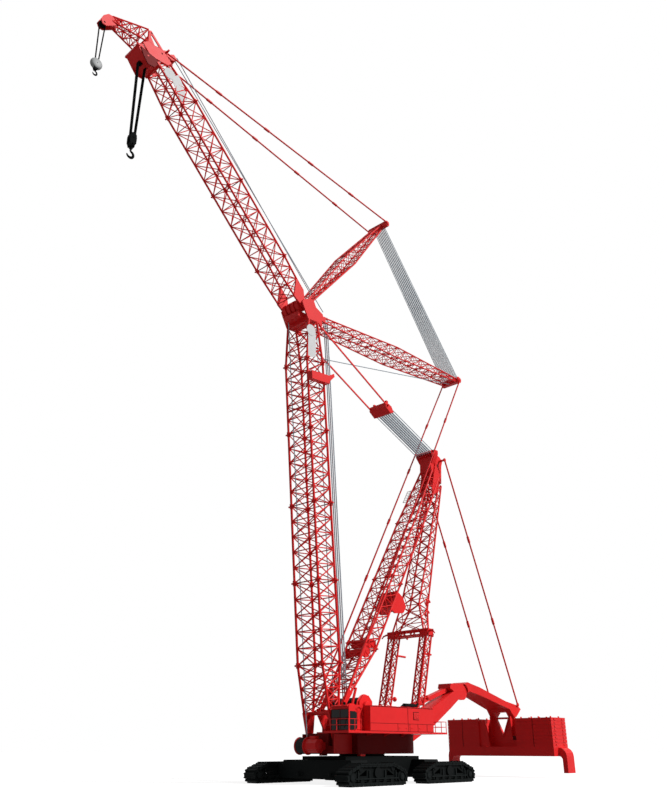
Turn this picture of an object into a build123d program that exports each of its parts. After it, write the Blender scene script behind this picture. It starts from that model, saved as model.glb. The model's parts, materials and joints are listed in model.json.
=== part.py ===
"""Crawler crane with a luffing jib, as a 1:10 scale model.

Every size and place below is written in metres of the full-size machine: x runs forward from the slew
axis, y to the machine's left, where the cab is, and z up from the ground. M turns them into model
millimetres, and SLEW_X puts the middle of the whole machine's length at x = 0.
"""
import os
from math import acos, atan2, cos, degrees, hypot, pi, radians, sin

from build123d import *

SCALE = 10
M = 1000 / SCALE


def turned(angle, out, rise=0.0):
    """The (x, z) step that goes out along a line at this angle, and rise square to it."""
    a = radians(angle)
    return out * cos(a) - rise * sin(a), out * sin(a) + rise * cos(a)


def beyond(start, angle, out, rise=0.0):
    """The (x, z) place that lies this far out from start along the angle, and rise square to that."""
    dx, dz = turned(angle, out, rise)
    return start[0] + dx, start[1] + dz


def between(a, b, share):
    return a[0] + (b[0] - a[0]) * share, a[1] + (b[1] - a[1]) * share


def heading(a, b):
    """The angle of the line from a to b, in degrees."""
    return degrees(atan2(b[1] - a[1], b[0] - a[0]))


# fits: a pin in its bore, a piece on its seat, and a piece beside one that moves
PIN_PLAY = 0.0005
SEAT = 0.003
SIDE_PLAY = 0.06

# crawlers: four pods, each with a shoe belt round two end wheels and two carrier wheels
POD_X, POD_Y, POD_H = 6.12, 6.96, 2.15
BELT_W, BELT_T, SHOE_LUG, SHOE_PITCH = 1.78, 0.12, 0.08, 0.62
END_WHEEL_X, END_WHEEL_R = 3.85, 0.62
TOP_WHEEL_X, TOP_WHEEL_R = 2.5, 0.3
TREAD_PLAY = 0.01
FRAME_W, FRAME_Z0 = 1.2, 0.45
HUB_OUT = 0.2
ROLLERS, ROLLER_PITCH, ROLLER_R = 5, 1.15, 0.25

# carbody and slew ring
BEAM_Z0, BEAM_Z1, BEAM_HALF = 0.5, 2.36, 1.25
BEAM_Y, BEAM_END_Y, BEAM_END_Z1 = 5.1, 5.95, 2.03
STUB_HALF, STUB_Z0, STUB_Z1 = 0.6, 0.75, 1.75
CARBODY_Z0, CARBODY_Z1 = 1.0, 2.72
CARBODY_X, CARBODY_Y = 6.2, 3.3
LUG_Y, LUG_T, LUG_OUT, LUG_Z, LUG_BORE, LUG_R = 2.4, 0.3, 0.42, 1.0, 0.14, 0.25
RING_R, RING_Z1 = 2.6, 2.95

# slewing bed and the deck round it
BED_Z0, BED_Z1 = RING_Z1 + SEAT, 5.0
BED_X0, BED_X1, BED_Y = -7.5, 4.2, 3.2
NOSE_X, NOSE_Y, NOSE_Z = 7.1, 1.6, 3.75
CHEEK_Y0, CHEEK_Y1, CHEEK_Z1 = 2.2, 2.4, 4.95
DECK_T, DECK_Y = 0.2, 6.0
DECK_X0, DECK_X1 = -8.3, 8.6
DECK_Z1 = BED_Z1 + DECK_T
BRACKET_Z0, BRACKET_T, BRACKET_OUT = 4.75, 0.12, 1.1
HOUSE_X0, HOUSE_X1, HOUSE_Y0, HOUSE_Z1 = -5.75, 5.2, 3.0, 7.72
FAR_HOUSE_X1 = 0.4
RAIL_H, RAIL_T = 1.15, 0.06

# cab
CAB_X0, CAB_X1 = 5.26, 7.5
CAB_Y0, CAB_Y1 = 2.42, 5.0
CAB_Z1, CAB_WALL = 7.75, 0.1
DOOR_X0, DOOR_X1, DOOR_Z0, DOOR_Z1 = 5.42, 6.12, 5.34, 7.45
DOOR_GAP, KNUCKLE_R, KNUCKLE_H = 0.05, 0.05, 0.2
GLASS_T = 0.04

# winch drums: the one in front of the bed, and those on the deck
FRONT_DRUM = (8.1, 3.75)
FRONT_DRUM_R, FRONT_DRUM_Y0, FRONT_DRUM_Y1 = 0.9, -1.7, 1.3
DRIVE_R, DRIVE_L = 0.45, 1.7
DRUM_Y, FLANGE_T, DRUM_PLATE = 2.3, 0.12, 0.2

# main boom
FOOT = (6.42, 4.6)
BOOM_DEG = 85.27
BOOM_W, BOOM_D = 3.9, 2.8
BUTT_L, BUTT_LEG, INSERT_L, INSERTS, TOP_L = 7.6, 2.6, 9.144, 4, 5.6
FOOT_D, TOP_D = 0.7, 1.5
CHORD, BRACE = 0.3, 0.16
FOOT_PIN_R = 0.2
HEAD_H = 0.75
PLATFORM_OUT, PLATFORM_W, PLATFORM_H, BOARD_T = 41.1, 0.75, 1.1, 0.1
BOOM_TOP = BUTT_L + INSERTS * INSERT_L
HEAD_OUT = BOOM_TOP + TOP_L
BOOM_END = beyond(FOOT, BOOM_DEG, HEAD_OUT)

# boom head: the jib's hinge, the gussets that hold it, and what is pinned between them
HINGE, HINGE_PIN_R = beyond(BOOM_END, BOOM_DEG, 2.11, -1.31), 0.22
GUSSET_Y0, GUSSET_Y1 = 1.85, 2.05
JIB_FOOT_Y0, JIB_FOOT_Y1 = 1.42, 1.68
SHEAVE_R, SHEAVES, RIM_SHARE = 0.86, 4, 0.64
SHEAVE_PITCH = 2 * (JIB_FOOT_Y0 - SIDE_PLAY) / (SHEAVES - 1 + RIM_SHARE)

# luffing jib
JIB_DEG = 44.5
JIB_W, JIB_D = 3.1, 2.66
JIB_START = beyond(HINGE, JIB_DEG, 6.52, 0.4)
JIB_L, JIB_INSERTS, JIB_TOP_L = 10.85, 2, 5.2
JIB_END = JIB_INSERTS * JIB_L
JIB_TIP = JIB_END + JIB_TOP_L
JIB_HEAD = beyond(JIB_START, JIB_DEG, JIB_TIP)
JIB_HEAD_TOP = beyond(JIB_HEAD, JIB_DEG, 4.88, 2.63)
JIB_BUTT_L, JIB_BUTT_D = 5.0, 2.0
JIB_CHORD = 0.26
JIB_END_W, JIB_END_D = 2.48, 1.9
MAIN_SHEAVE, MAIN_SHEAVE_R, MAIN_PIN_R = beyond(JIB_HEAD, JIB_DEG, 1.53, -1.93), 0.6, 0.2
TIP_START, TIP_W, TIP_D = beyond(JIB_HEAD, JIB_DEG, 4.51, 0.61), 2.5, 2.7
TIP_L, TIP_DEG, TIP_CHORD = 4.51, -19.44, 0.2
TIP_END = beyond(TIP_START, TIP_DEG, TIP_L)
TIP_SHEAVE, TIP_SHEAVE_R, TIP_PIN_R = (TIP_END[0] + 1.0, TIP_END[1] - 0.8), 0.45, 0.12
TIP_X1 = TIP_SHEAVE[0] + TIP_SHEAVE_R + 0.05

# the two struts behind the boom head, and the flat stay bars that hold them
JIB_STRUT_L, JIB_STRUT_DEG = 26.51, 127.8
BOOM_STRUT_L, BOOM_STRUT_DEG = 31.38, 177.44
JIB_STRUT_FOOT = beyond(BOOM_END, BOOM_DEG, 2.75)
BOOM_STRUT_FOOT = beyond(BOOM_END, BOOM_DEG, 1.16, 1.68)
JIB_STRUT_TIP = beyond(JIB_STRUT_FOOT, JIB_STRUT_DEG, JIB_STRUT_L)
BOOM_STRUT_TIP = beyond(BOOM_STRUT_FOOT, BOOM_STRUT_DEG, BOOM_STRUT_L)
STRUT_PIN_R, STRUT_CHORD, STRUT_BRACE = 0.16, 0.2, 0.12
JIB_CROSS_Y, BOOM_CROSS_Y, CROSS_HALF = 1.8, 1.6, 0.35
TACKLE_LINES, TACKLE_LOW_Y, TACKLE_HIGH_Y, TACKLE_T = 7, 1.3, 0.9, 0.1
STAY_T, STAY_H, STAY_PIN_R = 0.12, 0.22, 0.1
JIB_STAY_END = beyond(JIB_HEAD, JIB_DEG, 2.34, 2.6)
BACKSTAY_LOW_OUT, BACKSTAY_LOW_RISE = 2.3, 0.62
PENDANT_TOP, PENDANT_Y = beyond(BOOM_END, BOOM_DEG, -0.23, 1.51), 1.76
EQUALIZER, EQUALIZER_Y = beyond(PENDANT_TOP, -152.62, 15.65), 1.5

# mast, its head and the backhitch
MAST_FOOT, MAST_BEND = (5.1, 7.4), (-0.24, 14.76)
MAST_DEG, MAST_L = 121.26, 29.3
MAST_LEG, MAST_LEG_Y0, MAST_LEG_Y1 = 2.6, 1.42, 1.68
MAST_W, MAST_D, MAST_CHORD, MAST_BRACE = 3.1, 1.7, 0.26, 0.14
MAST_WINCH_Y = 1.25
STAND_T, MAST_PIN_R = 0.2, 0.15
MAST_END = beyond(MAST_BEND, MAST_DEG, MAST_L)
MAST_HEAD = beyond(MAST_END, MAST_DEG, 2.44, -0.6)
HITCH_FOOT, HITCH_SPLIT, HITCH_TRUNK = (-6.45, 5.2), (-9.55, 17.0), (-10.6, 20.4)
HITCH_LEG_Y, HITCH_LEG_W, HITCH_CROSS_Y = 2.6, 1.0, 3.3
HITCH_CHORD, HITCH_BRACE = 0.24, 0.13

# hanging counterweight and the arm that leads to it
KNEE, KNEE_PIN_R, KNEE_R = (-18.9, 10.35), 0.3, 1.0
ARM_Y, TONGUE_Y = 1.0, 0.56
REAR_BEAM_Y, BEAM_TAIL_Y, BEAM_X1 = 1.2, 2.05, -31.2
TAIL_X0, TAIL_X1, TAIL_Z = -29.95, -29.5, 7.5
LINK_Y, LINK_H, LUG_SPACE = 0.8, 0.5, 1.0
TRAY_X0, TRAY_X1 = -31.8, -28.06
TRAY_Y, TRAY_Z0, TRAY_Z1 = 8.42, 2.55, 3.72
LEG_X0, LEG_X1, LEG_Y0, LEG_Y1, LEG_Z0 = -31.17, -29.3, 8.85, 9.5, 0.55
SLABS, SLAB_T, SLAB_GAP = 8, 0.42, 0.03
STRAP_TOP, STRAP_LOW = (MAST_HEAD[0] - 0.2, MAST_HEAD[1] - 0.3), (-30.4, 9.1)

SLEW_X = -(TIP_X1 + TRAY_X0) / 2


def place(x, y, z):
    """A full-size place as a model point."""
    return Vector((x + SLEW_X) * M, y * M, z * M)


def box(x0, x1, y0, y1, z0, z1):
    size = Box((x1 - x0) * M, (y1 - y0) * M, (z1 - z0) * M)
    return Pos(place((x0 + x1) / 2, (y0 + y1) / 2, (z0 + z1) / 2)) * size


def solid_of(loops):
    """A prism between two like polygons, whose matching corners all lie one same step apart."""
    a, b = loops
    count = len(a)
    sides = [[a[i], a[(i + 1) % count], b[(i + 1) % count], b[i]] for i in range(count)]
    faces = [Face(Wire.make_polygon(loop, close=True)) for loop in [a, b, *sides]]
    return Solid(Shell(faces)).fix()


def slab(outline, step, holes=()):
    """A flat outline of model points with holes, drawn out along the vector step."""
    face = Face(Wire.make_polygon(outline, close=True), [Wire.make_polygon(h, close=True) for h in holes])
    return Solid.extrude(face, step)


def side_plate(outline, y0, y1, holes=()):
    """A plate seen from the machine's side: (x, z) corners, from y0 to y1."""
    at = [[place(x, y0, z) for x, z in loop] for loop in [outline, *holes]]
    return slab(at[0], Vector(0, (y1 - y0) * M, 0), at[1:])


def front_plate(outline, x0, x1):
    """A plate seen from the front: (y, z) corners, from x0 to x1."""
    return slab([place(x0, y, z) for y, z in outline], Vector((x1 - x0) * M, 0, 0))


def flat_plate(outline, z0, z1):
    """A plate seen from above: (x, y) corners, from z0 to z1."""
    return slab([place(x, y, z0) for x, y in outline], Vector(0, 0, (z1 - z0) * M))


def shaft(x, z, r, y0, y1):
    """A round bar across the machine, from y0 to y1."""
    turn = Rot(X=-90) * Cylinder(r * M, (y1 - y0) * M)
    return Pos(place(x, (y0 + y1) / 2, z)) * turn


def strip(a, b, across, high):
    """A bar of size across (along y) by high between two (x, y, z) places in one vertical plane."""
    (x0, y0, z0), (x1, y1, z1) = a, b
    long = hypot(x1 - x0, z1 - z0)
    nx, nz = -(z1 - z0) / long, (x1 - x0) / long
    ends = []
    for x, y, z in (a, b):
        ends.append([place(x + nx * high * s / 2, y + across * t / 2, z + nz * high * s / 2)
                     for s, t in ((-1, -1), (1, -1), (1, 1), (-1, 1))])
    return solid_of(ends)


def inset(corners, margins):
    """Shrinks a triangle given as 2-D corners by one margin for each edge, corner i to corner i + 1."""
    lines = []
    cx = sum(p[0] for p in corners) / 3
    cy = sum(p[1] for p in corners) / 3
    for i in range(3):
        (x0, y0), (x1, y1) = corners[i], corners[(i + 1) % 3]
        long = hypot(x1 - x0, y1 - y0)
        nx, ny = -(y1 - y0) / long, (x1 - x0) / long
        c = nx * x0 + ny * y0
        if nx * cx + ny * cy < c:
            nx, ny, c = -nx, -ny, -c
        lines.append((nx, ny, c + margins[i]))
    out = []
    for i in range(3):
        (a, b, c), (d, e, f) = lines[i - 1], lines[i]
        det = a * e - b * d
        out.append(((c * e - b * f) / det, (a * f - c * d) / det))
    return out


def truss_panel(quad, step, bays, chord, brace):
    """One flat side of a lattice: quad holds chord A's two ends, then chord B's, as model points."""
    a0, a1, b0, b1 = quad
    ends = ((a0, a1), (b0, b1))
    along = (a1 - a0).normalized()
    up = (b0 - a0) - along * (b0 - a0).dot(along)
    up = up.normalized()

    def flat(p):
        return ((p - a0).dot(along), (p - a0).dot(up))

    def rise(p):
        return a0 + along * p[0] + up * p[1] - step * 0.5

    def node(k):
        p, q = ends[k % 2]
        return p + (q - p) * (k / bays)

    last = bays % 2
    triangles = [((b0, a0, node(1)), (brace, brace / 2, chord / 2))]
    for k in range(bays - 1):
        triangles.append(((node(k), node(k + 1), node(k + 2)), (brace / 2, brace / 2, chord / 2)))
    far = (ends[1 - last][1], node(bays), node(bays - 1))
    triangles.append((far, (brace, brace / 2, chord / 2)))
    holes = []
    for corners, margins in triangles:
        holes.append([rise(p) for p in inset([flat(c) for c in corners], [m * M for m in margins])])
    outline = [rise(flat(p)) for p in (a0, a1, b1, b0)]
    return slab(outline, step, holes)


def lattice(start, end, w0, d0, w1, d1, bays, chord=CHORD, brace=BRACE, y=0.0):
    """A four-chord lattice between two (x, z) places: widths w along y, depths d across, at each end."""
    (x0, z0), (x1, z1) = start, end
    long = hypot(x1 - x0, z1 - z0)
    nx, nz = -(z1 - z0) / long, (x1 - x0) / long

    def corner(tip, side, face):
        x, z, w, d = ((x0, z0, w0, d0), (x1, z1, w1, d1))[tip]
        return place(x + nx * d / 2 * face, y + w / 2 * side, z + nz * d / 2 * face)

    pieces = []
    for side in (-1, 1):
        for face in (-1, 1):
            loops = []
            for tip in (0, 1):
                centre = corner(tip, side, face)
                loops.append([centre + Vector(nx * s, t, nz * s) * (chord / 2 * M)
                              for s, t in ((-1, -1), (1, -1), (1, 1), (-1, 1))])
            pieces.append(solid_of(loops))
    thick = brace * M * 0.8
    for side in (-1, 1):
        quad = [corner(tip, side, face) for face in (-1, 1) for tip in (0, 1)]
        step = Vector(0, thick, 0)
        pieces.append(truss_panel(quad, step, bays, chord, brace))
    for face in (-1, 1):
        quad = [corner(tip, side, face) for side in (-1, 1) for tip in (0, 1)]
        step = Vector(nx, 0, nz) * thick
        pieces.append(truss_panel(quad, step, bays, chord, brace))
    return pieces


def fuse(pieces):
    whole = pieces[0]
    return whole.fuse(*pieces[1:]) if len(pieces) > 1 else whole


# ---------------------------------------------------------------- crawlers

def belt_line():
    """The belt's inner line as pieces: length, a start centre and radius, an outward angle and its turn."""
    low = BELT_T + SHOE_LUG + END_WHEEL_R
    high = POD_H - BELT_T - SHOE_LUG - TOP_WHEEL_R
    wheels = [(-END_WHEEL_X, low, END_WHEEL_R), (END_WHEEL_X, low, END_WHEEL_R),
              (TOP_WHEEL_X, high, TOP_WHEEL_R), (-TOP_WHEEL_X, high, TOP_WHEEL_R)]
    angles, runs = [], []
    for (x0, z0, r0), (x1, z1, r1) in zip(wheels, wheels[1:] + wheels[:1]):
        apart = hypot(x1 - x0, z1 - z0)
        angles.append(atan2(z1 - z0, x1 - x0) - acos((r0 - r1) / apart))
        runs.append((apart ** 2 - (r0 - r1) ** 2) ** 0.5)
    pieces = []
    for i, (x, z, r) in enumerate(wheels):
        turn = (angles[i] - angles[i - 1]) % (2 * pi)
        pieces.append((turn * r, x, z, r, angles[i - 1], turn))
        pieces.append((runs[i], x, z, r, angles[i], 0.0))
    return pieces


def on_belt(line, along, rise):
    """The (x, z) place this far along the belt's line and this high above it."""
    for length, x, z, r, angle, turn in line:
        if along <= length:
            break
        along -= length
    a = angle + turn * along / length
    run = 0.0 if turn else along
    return x + (r + rise) * cos(a) - run * sin(a), z + (r + rise) * sin(a) + run * cos(a)


ARC_STEPS = 8


def track_belt(sx, sy):
    """One endless belt with its shoes: each shoe is a flat plate with a groove before the next."""
    line = belt_line()
    total = sum(piece[0] for piece in line)
    count = round(total / SHOE_PITCH)
    outer = [on_belt(line, (k + share) * total / count, BELT_T + lug)
             for k in range(count)
             for share, lug in ((0.04, 0), (0.12, SHOE_LUG), (0.88, SHOE_LUG), (0.96, 0))]
    inner = []
    start = 0.0
    for length, *_, turn in line:
        if turn:
            inner += [on_belt(line, start + length * k / ARC_STEPS, 0) for k in range(ARC_STEPS + 1)]
        start += length
    cx, cy = sx * POD_X, sy * POD_Y
    loops = [[(cx + x, z) for x, z in loop] for loop in (outer, inner)]
    return side_plate(loops[0], cy - BELT_W / 2, cy + BELT_W / 2, [loops[1]])


def track_frame(sx, sy):
    """The pod's beam with its end wheels, carrier wheels and low row of rollers, inside the belt."""
    cx, cy = sx * POD_X, sy * POD_Y
    y0, y1 = cy - FRAME_W / 2, cy + FRAME_W / 2
    ground = BELT_T + SHOE_LUG
    end_z = ground + END_WHEEL_R
    top_z = POD_H - ground - TOP_WHEEL_R
    half = [(END_WHEEL_X - 0.35, FRAME_Z0), (END_WHEEL_X - 0.35, end_z + 0.2), (TOP_WHEEL_X + 0.1, top_z),
            (TOP_WHEEL_X - 1.2, top_z + 0.2)]
    web = [(cx + x, z) for x, z in half] + [(cx - x, z) for x, z in reversed(half)]
    window = [(1.55, 0.95), (2.75, 0.95), (1.55, 1.55)]
    holes = [[(cx + s * x, z) for x, z in window] for s in (-1, 1)]
    pieces = [side_plate(web, y0, y1, holes)]
    for s in (-1, 1):
        # wheel columns: x, z, radius, reach past the web
        for x, z, r, out in ((END_WHEEL_X, end_z, END_WHEEL_R - TREAD_PLAY, HUB_OUT / 2),
                             (END_WHEEL_X, end_z, END_WHEEL_R * 0.55, HUB_OUT),
                             (TOP_WHEEL_X, top_z, TOP_WHEEL_R - TREAD_PLAY, HUB_OUT / 2)):
            pieces.append(shaft(cx + s * x, z, r, y0 - out, y1 + out))
    pieces.append(shaft(cx, (STUB_Z0 + STUB_Z1) / 2, 0.5, y0 - HUB_OUT, y1 + HUB_OUT))
    for k in range(ROLLERS):
        x = cx + (k - (ROLLERS - 1) / 2) * ROLLER_PITCH
        pieces.append(shaft(x, ground + SEAT + ROLLER_R, ROLLER_R, y0 - HUB_OUT / 2, y1 + HUB_OUT / 2))
    return fuse(pieces)


# ---------------------------------------------------------------- carbody

def carbody():
    """The middle box between the cross beams, and the plate that lies over them."""
    inner = POD_X - BEAM_HALF
    return fuse([box(-inner, inner, -CARBODY_Y, CARBODY_Y, CARBODY_Z0, BEAM_Z1),
                 box(-CARBODY_X, CARBODY_X, -CARBODY_Y, CARBODY_Y, BEAM_Z1, CARBODY_Z1)])


def cross_beam(sx):
    """A beam across the machine from pod to pod, stepped down at its ends, with two tie-down lugs."""
    half = [(BEAM_END_Y, BEAM_Z0 + 0.3), (BEAM_END_Y, BEAM_END_Z1), (BEAM_Y + 0.15, BEAM_END_Z1),
            (BEAM_Y, BEAM_Z1)]
    outline = ([(-BEAM_Y, BEAM_Z0), (BEAM_Y, BEAM_Z0)] + half + [(-y, z) for y, z in reversed(half)])
    x0, x1 = sx * POD_X - BEAM_HALF, sx * POD_X + BEAM_HALF
    pieces = [front_plate(outline, x0, x1)]
    hub = POD_Y - FRAME_W / 2 - HUB_OUT
    face = sx * (POD_X + BEAM_HALF)
    eye = face + sx * (LUG_OUT - LUG_R + 0.05)
    for sy in (-1, 1):
        pieces.append(box(sx * POD_X - STUB_HALF, sx * POD_X + STUB_HALF, *sorted((sy * BEAM_END_Y, sy * hub)),
                          STUB_Z0, STUB_Z1))
        root = [(face, sy * LUG_Y + 2 * LUG_R * s) for s in (-1, 1)]
        tip = [(eye, sy * LUG_Y + LUG_R * s) for s in (1, -1)]
        lug = flat_plate(root + tip, LUG_Z - LUG_T / 2, LUG_Z + LUG_T / 2)
        middle = Pos(place(eye, sy * LUG_Y, LUG_Z))
        lug = lug.fuse(middle * Cylinder(LUG_R * M, LUG_T * M))
        pieces.append(lug.cut(middle * Cylinder(LUG_BORE * M, 2 * LUG_T * M)))
    return fuse(pieces)


def slew_ring():
    low = Pos(place(0, 0, (CARBODY_Z1 + RING_Z1) / 2)) * Cylinder(RING_R * M, (RING_Z1 - CARBODY_Z1) * M)
    groove = Cylinder((RING_R + 0.1) * M, 0.05 * M) - Cylinder((RING_R - 0.08) * M, 0.06 * M)
    return low.cut(Pos(place(0, 0, (CARBODY_Z1 + RING_Z1) / 2)) * groove)


# ---------------------------------------------------------------- slewing bed, deck and houses

def tail_round(grow):
    """The bed's round tail as a full cylinder, grown by grow."""
    turn = Cylinder((BED_Y + grow) * M, (BED_Z1 - BED_Z0) * M)
    return Pos(place(BED_X0 + BED_Y, 0, (BED_Z0 + BED_Z1) / 2)) * turn


def bed_frame():
    """The slewing bed: a deep box with a round tail, and a nose that carries the boom's foot pins."""
    root = BED_X1 - 0.1
    pieces = [box(BED_X0 + BED_Y, BED_X1, -BED_Y, BED_Y, BED_Z0, BED_Z1), tail_round(0),
              box(root, NOSE_X, -CHEEK_Y1, CHEEK_Y1, BED_Z0, NOSE_Z),
              box(root, NOSE_X, -NOSE_Y, NOSE_Y, NOSE_Z - 0.1, BED_Z1)]
    for s in (-1, 1):
        y0, y1 = sorted((s * CHEEK_Y0, s * CHEEK_Y1))
        pieces.append(box(root, NOSE_X, y0, y1, NOSE_Z - 0.1, CHEEK_Z1))
    pieces.append(shaft(*FOOT, FOOT_PIN_R, -CHEEK_Y1, CHEEK_Y1))
    return fuse(pieces)


def deck():
    """The walkway level round the bed, open at the rear for the counterweight's arm."""
    gap_x, gap_y = BED_X0 + 0.3, ARM_Y + SIDE_PLAY
    plates = [box(gap_x, BED_X1, -HOUSE_Y0 - 0.1, HOUSE_Y0 + 0.1, BED_Z1, DECK_Z1),
              box(CAB_X0, DECK_X1, CAB_Y0, HOUSE_Y0 + 0.1, BED_Z1, DECK_Z1),
              box(DECK_X0, DECK_X1, HOUSE_Y0, DECK_Y, BED_Z1, DECK_Z1),
              box(DECK_X0, FAR_HOUSE_X1 + 0.8, -DECK_Y, -HOUSE_Y0, BED_Z1, DECK_Z1)]
    for s in (-1, 1):
        y0, y1 = sorted((s * gap_y, s * (HOUSE_Y0 + 0.1)))
        plates.append(box(DECK_X0, gap_x + 0.1, y0, y1, BED_Z1, DECK_Z1))
    # bracket columns: x, side
    for x, s in ((-3.4, 1), (-0.4, 1), (2.6, 1), (-3.4, -1), (-0.4, -1)):
        top = BED_Z1 + 0.05
        triangle = [(s * BED_Y, BRACKET_Z0), (s * BED_Y, top), (s * (BED_Y + BRACKET_OUT), top)]
        plates.append(front_plate(triangle, x, x + BRACKET_T))
    return fuse(plates)


def machine_house(x0, x1, y0, y1):
    """A plain closed house with its top edges bevelled."""
    bevel = 0.08
    side = [(y0, DECK_Z1), (y1, DECK_Z1), (y1, HOUSE_Z1 - bevel), (y1 - bevel, HOUSE_Z1),
            (y0 + bevel, HOUSE_Z1), (y0, HOUSE_Z1 - bevel)]
    return front_plate(side, x0, x1)


def rail_run(points):
    """A guard rail on the deck through (x, y) points, with a middle rail and a post at each point."""
    half = RAIL_T / 2
    pieces = []
    for (x0, y0), (x1, y1) in zip(points, points[1:]):
        for h in (RAIL_H, RAIL_H / 2):
            z = DECK_Z1 + h
            pieces.append(box(min(x0, x1) - half, max(x0, x1) + half, min(y0, y1) - half, max(y0, y1) + half,
                              z - half, z + half))
    for x, y in points:
        pieces.append(box(x - half, x + half, y - half, y + half, DECK_Z1, DECK_Z1 + RAIL_H))
    return fuse(pieces)


RAIL_Y = DECK_Y - RAIL_T


def front_rail():
    x = DECK_X1 - RAIL_T
    return rail_run([(x, CAB_Y0 + 0.1), (x, 4.2), (x, RAIL_Y), (7.6, RAIL_Y), (6.6, RAIL_Y)])


def rear_rails():
    x = DECK_X0 + RAIL_T
    return Compound([rail_run([(HOUSE_X0 - 0.4, s * RAIL_Y), (-7.3, s * RAIL_Y), (x, s * RAIL_Y), (x, s * 3.6)])
                     for s in (-1, 1)])


# ---------------------------------------------------------------- cab

SIDE_GLASS = [(6.28, 5.95), (6.55, 5.62), (CAB_X1 - 0.2, 5.62), (CAB_X1 - 0.2, 7.15), (6.5, 7.15), (6.28, 6.9)]
FRONT_GLASS = [(CAB_Y0 + 0.14, 5.4), (CAB_Y1 - 0.14, 5.4), (CAB_Y1 - 0.14, 7.25), (CAB_Y0 + 0.14, 7.25)]
DOOR_GLASS = [(DOOR_X0 + 0.12, 6.0), (DOOR_X1 - 0.12, 5.93), (DOOR_X1 - 0.12, 7.15), (DOOR_X0 + 0.12, 7.15)]
DOOR_Y0, DOOR_Y1 = CAB_Y1 - 0.08, CAB_Y1 - 0.01
DOOR_HINGE = (DOOR_X0 - DOOR_GAP / 2, CAB_Y1 + KNUCKLE_R + 0.01)
KNUCKLES = (5.6, 6.95)


def knuckle(z, block_x0, block_x1, block_y):
    """A hinge barrel KNUCKLE_H high from z up, joined by a block to the panel behind it."""
    x, y = DOOR_HINGE
    barrel = Pos(place(x, y, z + KNUCKLE_H / 2)) * Cylinder(KNUCKLE_R * M, KNUCKLE_H * M)
    return [barrel, box(block_x0, block_x1, block_y, y, z, z + KNUCKLE_H)]


def cab_shell():
    """The cab's walls, hollow, with its windows and its doorway cut, and its half of the door hinges."""
    t = CAB_WALL
    outer = box(CAB_X0, CAB_X1, CAB_Y0, CAB_Y1, DECK_Z1, CAB_Z1)
    room = box(CAB_X0 + t, CAB_X1 - t, CAB_Y0 + t, CAB_Y1 - t, DECK_Z1 + t, CAB_Z1 - t)
    cuts = [room, front_plate(FRONT_GLASS, CAB_X1 - t - 0.05, CAB_X1 + 0.05),
            side_plate(SIDE_GLASS, CAB_Y1 - t - 0.05, CAB_Y1 + 0.05),
            side_plate(SIDE_GLASS, CAB_Y0 - 0.05, CAB_Y0 + t + 0.05),
            box(DOOR_X0 - DOOR_GAP, DOOR_X1 + DOOR_GAP, CAB_Y1 - t - 0.05, CAB_Y1 + 0.05,
                DOOR_Z0 - DOOR_GAP, DOOR_Z1 + DOOR_GAP)]
    pieces = [outer.cut(*cuts)]
    for z in KNUCKLES:
        pieces += knuckle(z - KNUCKLE_H - SEAT, DOOR_X0 - 0.15, DOOR_X0 - DOOR_GAP, CAB_Y1 - 0.01)
    return fuse(pieces)


def cab_glass():
    mid = CAB_WALL / 2
    half = GLASS_T / 2
    return Compound([front_plate(FRONT_GLASS, CAB_X1 - mid - half, CAB_X1 - mid + half),
                     side_plate(SIDE_GLASS, CAB_Y1 - mid - half, CAB_Y1 - mid + half),
                     side_plate(SIDE_GLASS, CAB_Y0 + mid - half, CAB_Y0 + mid + half)])


def cab_seat():
    y = (CAB_Y0 + CAB_Y1) / 2
    floor = DECK_Z1 + CAB_WALL
    return fuse([box(6.1, 6.4, y - 0.25, y + 0.25, floor, floor + 0.5),
                 box(5.95, 6.6, y - 0.35, y + 0.35, floor + 0.45, floor + 0.62),
                 box(5.85, 6.02, y - 0.35, y + 0.35, floor + 0.45, floor + 1.4)])


def cab_door():
    """The door leaf with its pane in place, its handle and its half of the hinges."""
    leaf = box(DOOR_X0, DOOR_X1, DOOR_Y0, DOOR_Y1, DOOR_Z0, DOOR_Z1)
    recess = side_plate(DOOR_GLASS, DOOR_Y1 - 0.02, DOOR_Y1 + 0.02)
    handle = box(DOOR_X1 - 0.09, DOOR_X1 - 0.04, DOOR_Y1 - 0.01, DOOR_Y1 + 0.05, 6.2, 6.5)
    pieces = [leaf.cut(recess), handle]
    for z in KNUCKLES:
        pieces += knuckle(z, DOOR_X0, DOOR_X0 + 0.08, DOOR_Y1 - 0.01)
    return fuse(pieces)


# ---------------------------------------------------------------- drums

def drum(x, z, r, flange):
    """A winch drum across the machine with flanges, between two side plates that stand on the deck."""
    pieces = [shaft(x, z, r, -DRUM_Y, DRUM_Y)]
    wide, low, high = flange * 0.8, z + flange * 0.45, z + flange * 0.9
    plate = [(x - wide, DECK_Z1), (x + wide, DECK_Z1), (x + wide, low), (x + flange * 0.35, high),
             (x - flange * 0.35, high), (x - wide, low)]
    for s in (-1, 1):
        pieces.append(shaft(x, z, flange, *sorted((s * DRUM_Y, s * (DRUM_Y - FLANGE_T)))))
        pieces.append(side_plate(plate, *sorted((s * DRUM_Y, s * (DRUM_Y + DRUM_PLATE)))))
    return fuse(pieces)


def hoist_drums():
    # drum columns: x, z, barrel radius, flange radius
    return Compound([drum(*row) for row in ((1.95, 7.8, 0.95, 1.35), (-2.6, 6.9, 0.9, 1.2))])


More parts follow.
